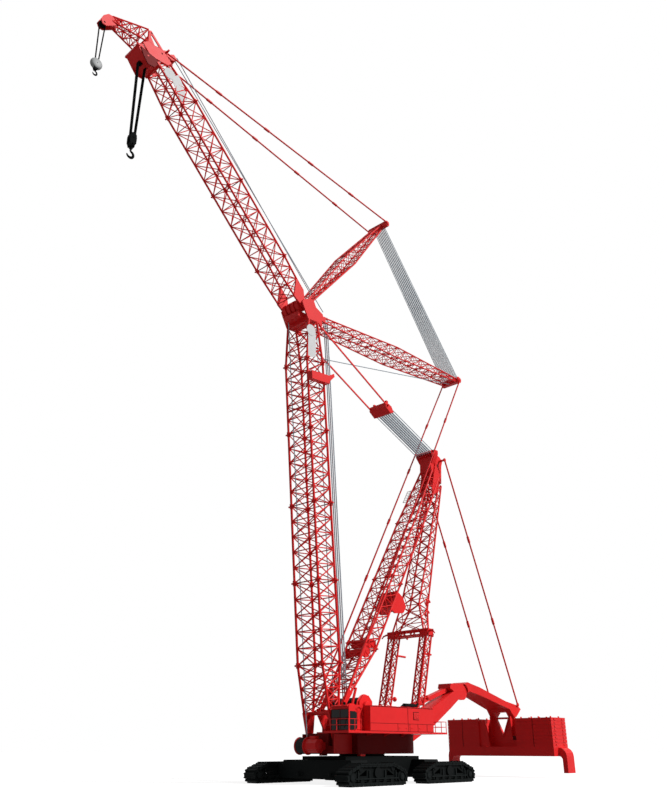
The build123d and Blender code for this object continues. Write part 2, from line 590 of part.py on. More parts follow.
def front_drum():
    """The drum in front of the bed, hung on two arms from its nose, with its drive housing at its left end."""
    x, z = FRONT_DRUM
    y0, y1, drive = FRONT_DRUM_Y0, FRONT_DRUM_Y1, FRONT_DRUM_Y1 - DRIVE_L
    pieces = [shaft(x, z, FRONT_DRUM_R * 0.75, y0, drive),
              shaft(x, z, FRONT_DRUM_R, y0 - FLANGE_T, y0), shaft(x, z, FRONT_DRUM_R, drive - FLANGE_T, drive)]
    r = FRONT_DRUM_R * 0.82
    housing = [beyond(FRONT_DRUM, a, r) for a in (20, 65, 115, 160, 205, 250, 290, 335)]
    pieces.append(side_plate(housing, drive - 0.01, y1))
    pieces.append(shaft(x, z, DRIVE_R, y1, y1 + FLANGE_T))
    arm = [(NOSE_X, z - 0.65), (x + 0.3, z - 0.65), (x + 0.3, z + 0.35), (NOSE_X, z + 0.75)]
    for y in (y0 - FLANGE_T, drive + 0.1):
        pieces.append(side_plate(arm, y, y + FLANGE_T))
    return fuse(pieces)


# ---------------------------------------------------------------- main boom

def boom_at(out, rise=0.0):
    """The (x, z) place this far out along the boom from its foot pin, and this far behind its axis."""
    return beyond(FOOT, BOOM_DEG, out, rise)


LEG_D = FOOT_D + (BOOM_D - FOOT_D) * BUTT_LEG / BUTT_L


def boom_butt():
    """Two solid legs down to the foot pins, with lattice between them above."""
    pieces = lattice(boom_at(BUTT_LEG), boom_at(BUTT_L), BOOM_W, LEG_D, BOOM_W, BOOM_D, 4)
    half = LEG_D / 2 + CHORD / 2
    leg = [boom_at(-0.25, -0.3), boom_at(-0.25, 0.3), boom_at(0.3, 0.45), boom_at(BUTT_LEG, half),
           boom_at(BUTT_LEG, -half), boom_at(0.3, -0.45)]
    for s in (-1, 1):
        y0, y1 = sorted((s * (BOOM_W / 2 - CHORD / 2), s * (BOOM_W / 2 + CHORD / 2)))
        pieces.append(side_plate(leg, y0, y1).cut(shaft(*FOOT, FOOT_PIN_R + PIN_PLAY, y0 - 0.1, y1 + 0.1)))
    pieces.append(shaft(*boom_at(BUTT_LEG - 0.15), 0.18, -BOOM_W / 2, BOOM_W / 2))
    return fuse(pieces)


def boom_insert(k):
    start = BUTT_L + k * INSERT_L
    return fuse(lattice(boom_at(start), boom_at(start + INSERT_L), BOOM_W, BOOM_D, BOOM_W, BOOM_D, 5))


def boom_top():
    return fuse(lattice(boom_at(BOOM_TOP), boom_at(HEAD_OUT), BOOM_W, BOOM_D, BOOM_W, TOP_D, 3))


def boom_head():
    """The head box and its gussets, with the pins for the jib, the two struts and the pendants."""
    half = TOP_D / 2 + CHORD / 2
    base = [boom_at(HEAD_OUT, -half), boom_at(HEAD_OUT, half)]
    top = [boom_at(HEAD_OUT + HEAD_H, half), boom_at(HEAD_OUT + HEAD_H, -half)]
    pieces = [side_plate(base + top, -GUSSET_Y1, GUSSET_Y1)]
    px, pz = PENDANT_TOP
    sx, sz = BOOM_STRUT_FOOT
    jx, jz = JIB_STRUT_FOOT
    hx, hz = HINGE
    gusset = base + [(px + 0.1, pz - 0.25), (px - 0.22, pz), (px - 0.1, pz + 0.25), (sx + 0.1, sz - 0.32),
                     (sx - 0.25, sz - 0.1), (sx - 0.15, sz + 0.28), (jx - 0.7, jz - 0.6),
                     (jx - 0.28, jz + 0.25),
                     (jx + 0.28, jz + 0.25), (hx + 0.2, hz + 0.5), (hx + 0.5, hz), (hx + 0.2, hz - 0.6)]
    for s in (-1, 1):
        pieces.append(side_plate(gusset, *sorted((s * GUSSET_Y0, s * GUSSET_Y1))))
        pieces.append(shaft(*PENDANT_TOP, STAY_PIN_R, *sorted((s * (PENDANT_Y - 0.1), s * GUSSET_Y1))))
    pieces.append(shaft(*HINGE, HINGE_PIN_R, -GUSSET_Y1, GUSSET_Y1))
    pieces.append(shaft(*JIB_STRUT_FOOT, STRUT_PIN_R, -GUSSET_Y1, GUSSET_Y1))
    pieces.append(shaft(*BOOM_STRUT_FOOT, STRUT_PIN_R, -GUSSET_Y1, GUSSET_Y1))
    return fuse(pieces)


def head_sheaves():
    """The nest of rope sheaves on the hinge pin, as one grooved roll."""
    rims = [(k - (SHEAVES - 1) / 2) * SHEAVE_PITCH for k in range(SHEAVES)]
    pieces = [shaft(*HINGE, SHEAVE_R * 0.75, rims[0], rims[-1])]
    rim = SHEAVE_PITCH * RIM_SHARE / 2
    pieces += [shaft(*HINGE, SHEAVE_R, y - rim, y + rim) for y in rims]
    return fuse(pieces).cut(shaft(*HINGE, HINGE_PIN_R + PIN_PLAY, -GUSSET_Y1, GUSSET_Y1))


def boom_platform():
    """The service platform on the boom's left side: a floor, its boards and a pointed rear bracket."""
    side = BOOM_W / 2 + CHORD / 2
    half = BOOM_D / 2 + CHORD / 2
    out, far = PLATFORM_OUT, side + PLATFORM_W

    def board(out0, out1, rise0, rise1, y0, y1):
        corners = ((out0, rise0), (out1, rise0), (out1, rise1), (out0, rise1))
        return side_plate([boom_at(*corner) for corner in corners], y0, y1)

    t = BOARD_T
    pieces = [board(out, out + t, -half, half, side, far),
              board(out, out + PLATFORM_H, -half, half, far - t, far),
              board(out, out + PLATFORM_H, -half, t - half, side, far),
              board(out, out + PLATFORM_H, half - t, half, side, far)]
    bracket = [boom_at(out, half - t), boom_at(out + PLATFORM_H, half - t), boom_at(out + 1.9, half + 1.5),
               boom_at(out + 1.5, half + 1.6)]
    pieces.append(side_plate(bracket, side, side + 2 * t))
    return fuse(pieces)


# ---------------------------------------------------------------- struts, stays and pendants

def spindle(foot, tip, widths, depths, bays):
    """A lattice strut that swells to its middle: widths and depths at its foot, middle and tip."""
    mid = between(foot, tip, 0.5)
    w, d = widths, depths
    return (lattice(foot, mid, w[0], d[0], w[1], d[1], bays, STRUT_CHORD, STRUT_BRACE)
            + lattice(mid, tip, w[1], d[1], w[2], d[2], bays, STRUT_CHORD, STRUT_BRACE))


def strut(foot, tip, leg, leg_y, cross_y, widths, depths, bays):
    """A strut from its foot pin to its crosshead, on two solid feet that are leg long."""
    angle = heading(foot, tip)
    start = beyond(foot, angle, leg)
    pieces = spindle(start, tip, widths, depths, bays)
    half = depths[0] / 2 + STRUT_CHORD / 2
    outline = [beyond(foot, angle, -0.25, -0.2), beyond(foot, angle, -0.25, 0.2),
               beyond(start, angle, 0, half), beyond(start, angle, 0, -half)]
    for s in (-1, 1):
        y0, y1 = sorted((s * (leg_y - 0.15), s * (leg_y + 0.15)))
        pieces.append(side_plate(outline, y0, y1).cut(shaft(*foot, STRUT_PIN_R + PIN_PLAY, y0 - 0.1, y1 + 0.1)))
    x, z = tip
    half = CROSS_HALF
    pieces.append(box(x - half, x + half, -cross_y, cross_y, z - half, z + half))
    return fuse(pieces)


def boom_strut():
    return strut(BOOM_STRUT_FOOT, BOOM_STRUT_TIP, 1.2, 1.4, BOOM_CROSS_Y, (2.8, 3.0, 2.4), (0.7, 1.7, 0.5), 5)


def jib_strut():
    return strut(JIB_STRUT_FOOT, JIB_STRUT_TIP, 1.2, 1.0, JIB_CROSS_Y, (2.0, 2.6, 1.6), (0.6, 1.7, 0.5), 4)


def stay_pair(top, top_face, low, low_face):
    """A left and a right stay bar that lie flat beside what holds them, SEAT off its outer faces."""
    bars = []
    for s in (-1, 1):
        a = (top[0], s * (top_face + 2 * SEAT + STAY_T / 2), top[1])
        b = (low[0], s * (low_face + 2 * SEAT + STAY_T / 2), low[1])
        bars.append(strip(a, b, STAY_T, STAY_H))
    return bars


def half_tackle(near, near_y, far, far_y, first):
    """Every other line of the tackle between the two crossheads, from the near one to halfway.

    The two halves lie side by side where they meet, so they pass each other as the struts draw together.
    """
    angle = heading(near, far)
    drop = TACKLE_T / 2 * abs(cos(radians(angle)))
    off = (CROSS_HALF + SEAT + drop) / abs(sin(radians(angle)))
    start, end = beyond(near, angle, off), between(near, far, 0.5)
    lines = []
    for k in range(first, TACKLE_LINES, 2):
        share = 2 * k / (TACKLE_LINES - 1) - 1
        lines.append(strip((start[0], share * near_y, start[1]), (end[0], share * (near_y + far_y) / 2, end[1]),
                           TACKLE_T, TACKLE_T))
    return lines


def boom_backstays():
    """The boom strut's two stay bars, and its half of the tackle that holds the jib's strut."""
    low = boom_at(BACKSTAY_LOW_OUT, BACKSTAY_LOW_RISE)
    stays = stay_pair(BOOM_STRUT_TIP, BOOM_CROSS_Y, low, BOOM_W / 2 + CHORD / 2)
    lines = half_tackle(BOOM_STRUT_TIP, TACKLE_LOW_Y, JIB_STRUT_TIP, TACKLE_HIGH_Y, 0)
    return Compound(stays + lines)


def jib_stays():
    """The jib strut's two stay bars, and its half of the tackle."""
    stays = stay_pair(JIB_STRUT_TIP, JIB_CROSS_Y, JIB_STAY_END, JIB_CROSS_Y)
    lines = half_tackle(JIB_STRUT_TIP, TACKLE_HIGH_Y, BOOM_STRUT_TIP, TACKLE_LOW_Y, 1)
    return Compound(stays + lines)


def boom_pendants():
    """The two pendant bars from the boom head, with the equalizer block that gathers the hoist ropes."""
    x, z = EQUALIZER
    block = side_plate([(x + 0.6, z + 0.6), (x - 0.5, z + 0.3), (x - 1.0, z - 0.5), (x - 0.3, z - 0.8),
                        (x + 0.7, z - 0.1)], -EQUALIZER_Y, EQUALIZER_Y)
    pieces = [block]
    for s in (-1, 1):
        high = (PENDANT_TOP[0], s * PENDANT_Y, PENDANT_TOP[1])
        low = (x, s * (EQUALIZER_Y - STAY_T / 2), z)
        eye = [s * (PENDANT_Y - STAY_T / 2), s * (PENDANT_Y + STAY_T / 2)]
        bar = strip(high, low, STAY_T, STAY_H).fuse(shaft(*PENDANT_TOP, STAY_PIN_R + 0.09, *sorted(eye)))
        pieces.append(bar.cut(shaft(*PENDANT_TOP, STAY_PIN_R + PIN_PLAY, -GUSSET_Y1, GUSSET_Y1)))
    return fuse(pieces)


# ---------------------------------------------------------------- luffing jib

def jib_at(out, rise=0.0):
    """The (x, z) place this far out along the jib from its first joint, and this far above its axis."""
    return beyond(JIB_START, JIB_DEG, out, rise)


def jib_butt():
    """Two solid legs down to the hinge pin, webs that spread them into the chords, and lattice above."""
    low = jib_at(-JIB_BUTT_L)
    pieces = lattice(low, jib_at(0), JIB_W, JIB_BUTT_D, JIB_W, JIB_D, 2, JIB_CHORD)
    half = JIB_BUTT_D / 2 + JIB_CHORD / 2
    leg = [beyond(HINGE, JIB_DEG, -0.35, -0.2), beyond(HINGE, JIB_DEG, 0.0, -0.45), jib_at(-JIB_BUTT_L, -half),
           jib_at(-JIB_BUTT_L, half), beyond(HINGE, JIB_DEG, 0.0, 0.45), beyond(HINGE, JIB_DEG, -0.35, 0.2)]
    web = [jib_at(-JIB_BUTT_L, -half), jib_at(-JIB_BUTT_L, half), jib_at(1.8 - JIB_BUTT_L, half)]
    for s in (-1, 1):
        y0, y1 = sorted((s * JIB_FOOT_Y0, s * JIB_FOOT_Y1))
        pieces.append(side_plate(leg, y0, y1).cut(shaft(*HINGE, HINGE_PIN_R + PIN_PLAY, y0 - 0.1, y1 + 0.1)))
        pieces.append(side_plate(web, y0, y1))
    return fuse(pieces)


def jib_insert(k):
    return fuse(lattice(jib_at(k * JIB_L), jib_at((k + 1) * JIB_L), JIB_W, JIB_D, JIB_W, JIB_D, 4, JIB_CHORD))


def jib_top():
    return fuse(lattice(jib_at(JIB_END), jib_at(JIB_TIP), JIB_W, JIB_D, JIB_END_W, JIB_END_D, 2, JIB_CHORD))


def jib_head():
    """The head box with the main falls' sheave pin, and the upright frame that holds the tip."""
    half = JIB_END_D / 2 + JIB_CHORD / 2
    wide = JIB_END_W / 2 + JIB_CHORD / 2
    high, low = jib_at(JIB_TIP, half), jib_at(JIB_TIP, -half)
    pieces = [side_plate([high, low, beyond(low, JIB_DEG, 0.5), beyond(high, JIB_DEG, 0.5)], -wide, wide)]
    face = TIP_D / 2 + TIP_CHORD / 2
    x, z = MAIN_SHEAVE
    sx, sz = JIB_STAY_END
    cheek = [high, low, (x + 0.4, z - 0.65), (x + 1.5, z), beyond(TIP_START, TIP_DEG, 0, -face),
             beyond(TIP_START, TIP_DEG, 0, face), JIB_HEAD_TOP, (sx - 0.25, sz)]
    for s in (-1, 1):
        pieces.append(side_plate(cheek, *sorted((s * (wide - 0.16), s * wide))))
    pieces.append(shaft(*MAIN_SHEAVE, MAIN_PIN_R, -wide, wide))
    pieces.append(shaft(JIB_HEAD_TOP[0] + 0.1, JIB_HEAD_TOP[1] - 0.4, 0.2, -wide, wide))
    pieces.append(shaft(*JIB_STAY_END, STAY_PIN_R + 0.08, -JIB_CROSS_Y, JIB_CROSS_Y))
    return fuse(pieces)


def jib_tip():
    """The tip extension: a lattice that closes on the two cheeks of the tip sheave."""
    pieces = lattice(TIP_START, TIP_END, TIP_W, TIP_D, 0.9, 0.7, 3, TIP_CHORD, STRUT_BRACE)
    x, z = TIP_SHEAVE
    cheek = [beyond(TIP_END, TIP_DEG, -0.1, -0.45), (x, z - 0.4), (TIP_X1, z), (x + 0.1, z + 0.6),
             beyond(TIP_END, TIP_DEG, -0.1, 0.45)]
    for s in (-1, 1):
        pieces.append(side_plate(cheek, *sorted((s * 0.36, s * 0.5))))
    pieces.append(shaft(*TIP_SHEAVE, TIP_PIN_R, -0.5, 0.5))
    return fuse(pieces)


# ---------------------------------------------------------------- hooks

def falls(top, drop, gap, thick):
    """Two bundles of rope from a sheave down to a block drop below it, closing a little."""
    x, z = top
    return [strip((x + s * gap, 0, z), (x + s * gap * 0.5, 0, z - drop), thick, thick) for s in (-1, 1)]


def hook(x, z, r):
    """A single hook with its eye at (x, z), its bowl of mean radius r below, open towards the front."""
    bar = r * 0.36
    drop = r * 2.2
    ring = shaft(x, z - drop, r + bar, -bar, bar).cut(shaft(x, z - drop, r - bar, -2 * bar, 2 * bar))
    mouth = side_plate([(x, z - drop), (x + 3 * r, z - drop - 0.2 * r), (x + 3 * r, z + r), (x, z + r)],
                       -2 * bar, 2 * bar)
    shank = side_plate([(x - bar, z - drop + r), (x + bar, z - drop + r * 0.95), (x + bar, z), (x - bar, z)],
                       -bar, bar)
    return [ring.cut(mouth), shank]


MAIN_DROP, MAIN_BLOCK_H, MAIN_HOOK_R = 11.4, 1.9, 0.42
TIP_DROP, TIP_BLOCK_R, TIP_HOOK_R = 5.6, 0.72, 0.26


def main_hook():
    """The main falls with their hook block; they swing as one on the jib head's sheave pin."""
    x, z = MAIN_SHEAVE
    block_z = z - MAIN_DROP
    pieces = [shaft(x, z, MAIN_SHEAVE_R, -0.45, 0.45), *falls(MAIN_SHEAVE, MAIN_DROP, 0.5, 0.4)]
    pieces.append(side_plate([(x - 0.5, block_z + 0.2), (x - 0.35, block_z - MAIN_BLOCK_H),
                              (x + 0.35, block_z - MAIN_BLOCK_H), (x + 0.5, block_z + 0.2)], -0.45, 0.45))
    pieces += hook(x, block_z - MAIN_BLOCK_H + 0.1, MAIN_HOOK_R)
    return fuse(pieces).cut(shaft(x, z, MAIN_PIN_R + PIN_PLAY, -1, 1))


def tip_hook():
    """The tip's falls with their single-sheave block; they swing as one on the tip sheave's pin."""
    x, z = TIP_SHEAVE
    block_z = z - TIP_DROP - 0.6
    pieces = [shaft(x, z, TIP_SHEAVE_R, -0.28, 0.28), *falls(TIP_SHEAVE, TIP_DROP, 0.36, 0.14)]
    pieces.append(shaft(x, block_z, TIP_BLOCK_R, -0.3, 0.3))
    pieces += hook(x, block_z - TIP_BLOCK_R + 0.1, TIP_HOOK_R)
    return fuse(pieces).cut(shaft(x, z, TIP_PIN_R + PIN_PLAY, -1, 1))


# ---------------------------------------------------------------- mast

LOWER_DEG = heading(MAST_FOOT, MAST_BEND)
MAST_LEG_D = 0.5


def mast():
    """Two solid legs up from the foot pins, a swelling section with a winch, then three straight sections."""
    start = beyond(MAST_FOOT, LOWER_DEG, MAST_LEG)
    pieces = lattice(start, MAST_BEND, MAST_W, MAST_LEG_D, MAST_W, MAST_D, 4, MAST_CHORD, MAST_BRACE)
    for k in range(3):
        a = beyond(MAST_BEND, MAST_DEG, MAST_L * k / 3)
        b = beyond(MAST_BEND, MAST_DEG, MAST_L * (k + 1) / 3)
        pieces += lattice(a, b, MAST_W, MAST_D, MAST_W, MAST_D, 5, MAST_CHORD, MAST_BRACE)
    half = MAST_LEG_D / 2 + MAST_CHORD / 2
    leg = [beyond(MAST_FOOT, LOWER_DEG, -0.3, -0.2), beyond(MAST_FOOT, LOWER_DEG, -0.3, 0.2),
           beyond(start, LOWER_DEG, 0, half), beyond(start, LOWER_DEG, 0, -half)]
    rear = MAST_D / 2
    winch = [beyond(MAST_BEND, MAST_DEG, out, rise)
             for out, rise in ((6.2, rear), (8.9, rear), (8.9, 2.3), (8.2, 3.4), (7.2, 3.3), (6.2, 2.0))]
    pieces.append(side_plate(winch, -MAST_WINCH_Y, MAST_WINCH_Y))
    pieces.append(shaft(*beyond(MAST_FOOT, LOWER_DEG, 7.8, -0.3), 0.5, -MAST_W / 2, MAST_W / 2))
    for s in (-1, 1):
        y0, y1 = sorted((s * MAST_LEG_Y0, s * MAST_LEG_Y1))
        pieces.append(side_plate(leg, y0, y1).cut(shaft(*MAST_FOOT, MAST_PIN_R + PIN_PLAY, y0 - 0.1, y1 + 0.1)))
    return fuse(pieces)


def mast_foot():
    """The two stands on the deck that hold the mast's foot pins."""
    x, z = MAST_FOOT
    y0, y1 = MAST_LEG_Y1 + SIDE_PLAY, MAST_LEG_Y1 + SIDE_PLAY + STAND_T
    outline = [(BED_X1 - 1.9, DECK_Z1), (BED_X1, DECK_Z1), (x + 0.25, z - 0.4), (x + 0.3, z + 0.2),
               (x - 0.2, z + 0.35), (x - 0.9, z - 0.3)]
    return Compound([side_plate(outline, *sorted((s * y0, s * y1))).fuse(
        shaft(x, z, MAST_PIN_R, *sorted((s * MAST_LEG_Y0, s * y1)))) for s in (-1, 1)])


HITCH_HEAD = beyond(MAST_END, MAST_DEG, -0.84, 1.51)
HITCH_DEG = heading(HITCH_TRUNK, HITCH_HEAD)
HITCH_HEAD_D = 0.6
STRAP_PIN_Y = BEAM_TAIL_Y


def mast_head():
    """The mast's head box, over the ends of the mast and the backhitch, with the straps' pin across it."""
    x, z = MAST_HEAD
    half = MAST_D / 2 + MAST_CHORD / 2
    hitch = HITCH_HEAD_D / 2 + HITCH_CHORD / 2
    outline = [beyond(MAST_END, MAST_DEG, 0, -half), beyond(MAST_END, MAST_DEG, 0, half),
               beyond(HITCH_HEAD, HITCH_DEG, 0, -hitch), beyond(HITCH_HEAD, HITCH_DEG, 0, hitch),
               (x - 0.9, z - 0.4), (x - 0.6, z + 0.3), (x + 0.4, z + 1.0), (x + 1.5, z + 0.9)]
    return fuse([side_plate(outline, -(MAST_W + MAST_CHORD) / 2, (MAST_W + MAST_CHORD) / 2),
                 shaft(*STRAP_TOP, 0.15, -STRAP_PIN_Y, STRAP_PIN_Y)])


def backhitch():
    """The backhitch: two lattice legs from the deck, a cross beam, and one lattice trunk to the mast's head."""
    lean = heading(HITCH_FOOT, HITCH_SPLIT)
    start = beyond(HITCH_FOOT, lean, 0.35)
    w, c, b = HITCH_LEG_W, HITCH_CHORD, HITCH_BRACE
    pieces = lattice(HITCH_TRUNK, HITCH_HEAD, 3.0, 1.8, 2.2, HITCH_HEAD_D, 11, c, b)
    pieces += lattice(HITCH_SPLIT, HITCH_TRUNK, 2 * HITCH_LEG_Y, w, 3.0, 1.8, 2, c, b)
    x, z = HITCH_SPLIT
    pieces.append(box(x - 0.7, x + 0.7, -HITCH_CROSS_Y, HITCH_CROSS_Y, z - 0.35, z + 0.35))
    x, z = HITCH_FOOT
    for s in (-1, 1):
        y = s * HITCH_LEG_Y
        pieces += lattice(start, HITCH_SPLIT, w, w, w, w, 7, c, b, y=y)
        pieces.append(box(x - w / 2, x + w / 2, y - w / 2, y + w / 2, DECK_Z1, DECK_Z1 + 0.5))
    return fuse(pieces)


# ---------------------------------------------------------------- counterweight

def rear_arm():
    """The arm that rises from the bed to the knee pin's two cheeks, and the link that stays it from above."""
    x, z = KNEE
    root = BED_X0 + 0.25
    lower = [(root, 3.9), (root - 2.55, 5.0), (root - 5.05, 6.05), (x + 2.5, z - 1.95), (x + 0.9, z - 0.95)]
    upper = [(x, z + KNEE_R), (x + 2.5, z + KNEE_R - 0.05), (x + 2.7, z + 0.4), (x + 1.9, z),
             (x + 3.5, z - 0.7), (x + 7.0, z - 2.3), (root, 5.6)]
    arm = side_plate(lower + [(x, z - KNEE_R)] + upper, -ARM_Y, ARM_Y).fuse(shaft(x, z, KNEE_R, -ARM_Y, ARM_Y))
    fork = side_plate([(x + 1.2, z - 2), (x + 1.2, z + 2), (x - 2, z + 2), (x - 2, z - 2)],
                      -TONGUE_Y - SIDE_PLAY, TONGUE_Y + SIDE_PLAY)
    low, high = (root + 0.35, DECK_Z1 + 2.35), (x + 2.6, z + 0.15)
    link = strip((low[0], 0, low[1]), (high[0], 0, high[1]), LINK_Y, LINK_H)
    stand = side_plate([(low[0] - 0.3, DECK_Z1), (low[0] + 1.2, DECK_Z1), (low[0] + 0.3, low[1] + 0.2),
                        (low[0] - 0.3, low[1] + 0.2)], -LINK_Y / 2, LINK_Y / 2)
    arm = arm.cut(fork, tail_round(SEAT))
    return arm.fuse(link, stand, shaft(x, z, KNEE_PIN_R, -ARM_Y, ARM_Y))


def counterweight_beam():
    """The beam from the knee pin back over the tray, widening to its tail, with the two lugs over the frame."""
    x, z = KNEE
    tongue_r = KNEE_R - 0.15
    top = [(x, z - tongue_r), (x, z + tongue_r), (x - 1.05, z + 1.27), (x - 3.5, z + 0.75),
           (TAIL_X1 + 1.65, TAIL_Z + 2.0), (TAIL_X0 - 0.55, TAIL_Z + 1.5), (BEAM_X1, TAIL_Z + 1.05)]
    low = [(TAIL_X0, TAIL_Z), (TAIL_X1, TAIL_Z), (TAIL_X1 + 0.9, TAIL_Z + 1.0), (x - 3.8, z - 0.35),
           (x - 1.35, z + 0.15)]
    widen = x - 1.9
    half = [(x + 2, REAR_BEAM_Y), (widen, REAR_BEAM_Y), (BEAM_X1 + 0.8, BEAM_TAIL_Y),
            (BEAM_X1 - 1, BEAM_TAIL_Y)]
    plan = [place(px, -py, 0) for px, py in half] + [place(px, py, 0) for px, py in reversed(half)]
    beam = side_plate(top + low, -BEAM_TAIL_Y, BEAM_TAIL_Y) & slab(plan, Vector(0, 0, 2 * z * M))
    clear = KNEE_R + SIDE_PLAY
    for s in (-1, 1):
        beam = beam.cut(shaft(x, z, clear, *sorted((s * TONGUE_Y, s * 3))))
    beam = beam.cut(box(BEAM_X1, TAIL_X1 + 1, -LUG_SPACE, LUG_SPACE, TAIL_Z - 0.1, TAIL_Z + 0.65))
    tongue = shaft(x, z, tongue_r, -TONGUE_Y, TONGUE_Y)
    return beam.fuse(tongue).cut(shaft(x, z, KNEE_PIN_R + PIN_PLAY, -3, 3))


def counterweight_frame():
    """The frame that stands between the stacks and carries the tray under the beam's tail, with its open V."""
    half = [(2.7, TRAY_Z1), (2.4, 6.4), (1.85, TAIL_Z)]
    outline = half + [(-y, z) for y, z in reversed(half)]
    hole = [place(TAIL_X0, y, z) for y, z in ((0, 5.1), (LUG_SPACE, 7.25), (-LUG_SPACE, 7.25))]
    return slab([place(TAIL_X0, y, z) for y, z in outline], Vector((TAIL_X1 - TAIL_X0) * M, 0, 0), [hole])


def quarter(cy, cz, r, start, steps=4):
    """Points on a quarter circle in the (y, z) plane, from the angle start and clockwise."""
    return [(cy + r * cos(radians(start - 90 * k / steps)), cz + r * sin(radians(start - 90 * k / steps)))
            for k in range(steps + 1)]


def counterweight_tray():
    """The tray beam across the rear, with a rounded parking leg down from each end."""
    pieces = [box(TRAY_X0, TRAY_X1, -TRAY_Y, TRAY_Y, TRAY_Z0, TRAY_Z1)]
    out, under = LEG_Y1 - TRAY_Y, LEG_Y0 - TRAY_Y
    shoulder = ([(TRAY_Y - 0.1, TRAY_Z0), (TRAY_Y - 0.1, TRAY_Z1 - 0.1)]
                + quarter(TRAY_Y, TRAY_Z1 - 0.1 - out, out, 90) + [(LEG_Y1, LEG_Z0), (LEG_Y0, LEG_Z0)]
                + list(reversed(quarter(TRAY_Y, TRAY_Z0 - under, under, 90))))
    for s in (-1, 1):
        pieces.append(front_plate([(s * y, z) for y, z in shoulder], LEG_X0, LEG_X1))
    return fuse(pieces)


def counterweight_stack(y0, y1):
    """A stack of like slabs, each set a little in at its joint with the next."""
    pieces = []
    pitch = SLAB_T + SLAB_GAP
    for k in range(SLABS):
        z = TRAY_Z1 + k * pitch
        pieces.append(box(TRAY_X0, TRAY_X1, y0, y1, z, z + SLAB_T))
        if k < SLABS - 1:
            pieces.append(box(TRAY_X0 + 0.1, TRAY_X1 - 0.1, y0 + 0.1, y1 - 0.1, z + SLAB_T, z + pitch))
    return fuse(pieces)


def counterweight_straps():
    return Compound(stay_pair(STRAP_TOP, STRAP_PIN_Y, STRAP_LOW, BEAM_TAIL_Y))


# ---------------------------------------------------------------- the parts list

PARTS = {
    "carbody": carbody(),
    "carbody_front_beam": cross_beam(1),
    "carbody_rear_beam": cross_beam(-1),
    "slew_ring": slew_ring(),
    "bed_frame": bed_frame(),
    "deck": deck(),
    "machine_house": machine_house(HOUSE_X0, HOUSE_X1, HOUSE_Y0, DECK_Y),
    "far_machine_house": machine_house(HOUSE_X0, FAR_HOUSE_X1, -DECK_Y, -HOUSE_Y0),
    "front_rail": front_rail(),
    "rear_rails": rear_rails(),
    "cab_shell": cab_shell(),
    "cab_glass": cab_glass(),
    "cab_seat": cab_seat(),
    "cab_door": cab_door(),
    "front_drum": front_drum(),
    "hoist_drums": hoist_drums(),
    "boom_butt": boom_butt(),
    "boom_top": boom_top(),
    "boom_head": boom_head(),
    "head_sheaves": head_sheaves(),
    "boom_platform": boom_platform(),
    "boom_strut": boom_strut(),
    "boom_backstays": boom_backstays(),
    "boom_pendants": boom_pendants(),
    "jib_butt": jib_butt(),
    "jib_top": jib_top(),
    "jib_head": jib_head(),
    "jib_tip": jib_tip(),
    "jib_strut": jib_strut(),
    "jib_stays": jib_stays(),
    "main_hook": main_hook(),
    "tip_hook": tip_hook(),
    "mast": mast(),
    "mast_foot": mast_foot(),
    "mast_head": mast_head(),
    "backhitch": backhitch(),
    "rear_arm": rear_arm(),
    "counterweight_beam": counterweight_beam(),
    "counterweight_frame": counterweight_frame(),
    "counterweight_tray": counterweight_tray(),
    "counterweight_straps": counterweight_straps(),
}
# pod columns: name, side along x, side along y
for name, sx, sy in (("front_left", 1, 1), ("front_right", 1, -1),
                     ("rear_left", -1, 1), ("rear_right", -1, -1)):
    PARTS["track_" + name] = track_belt(sx, sy)
    PARTS["track_frame_" + name] = track_frame(sx, sy)
for k in range(INSERTS):
    PARTS[f"boom_insert_{k + 1}"] = boom_insert(k)
for k in range(JIB_INSERTS):
    PARTS[f"jib_insert_{k + 1}"] = jib_insert(k)
# stack columns: name, right side, left side
for name, y0, y1 in (("outer_left", 5.6, TRAY_Y), ("inner_left", 2.9, 5.5),
                     ("outer_right", -TRAY_Y, -5.95), ("inner_right", -5.85, -3.1)):
    PARTS["counterweight_stack_" + name] = counterweight_stack(y0, y1)

if __name__ == "__main__":
    os.makedirs("parts", exist_ok=True)
    for name, shape in PARTS.items():
        export_step(shape, f"parts/{name}.step")
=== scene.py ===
"""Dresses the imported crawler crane: lattices, ropes, tracks, houses, finishes, light and camera.

Sizes are metres of the full-size machine: x forward from the slew axis, y to its left, z up. made() turns them
into the model's frame at 1:10. A shape is a pair: an array of points and a list of polygon arrays.
"""
import json
from functools import partial
from math import atan2, cos, degrees, pi, radians, sin

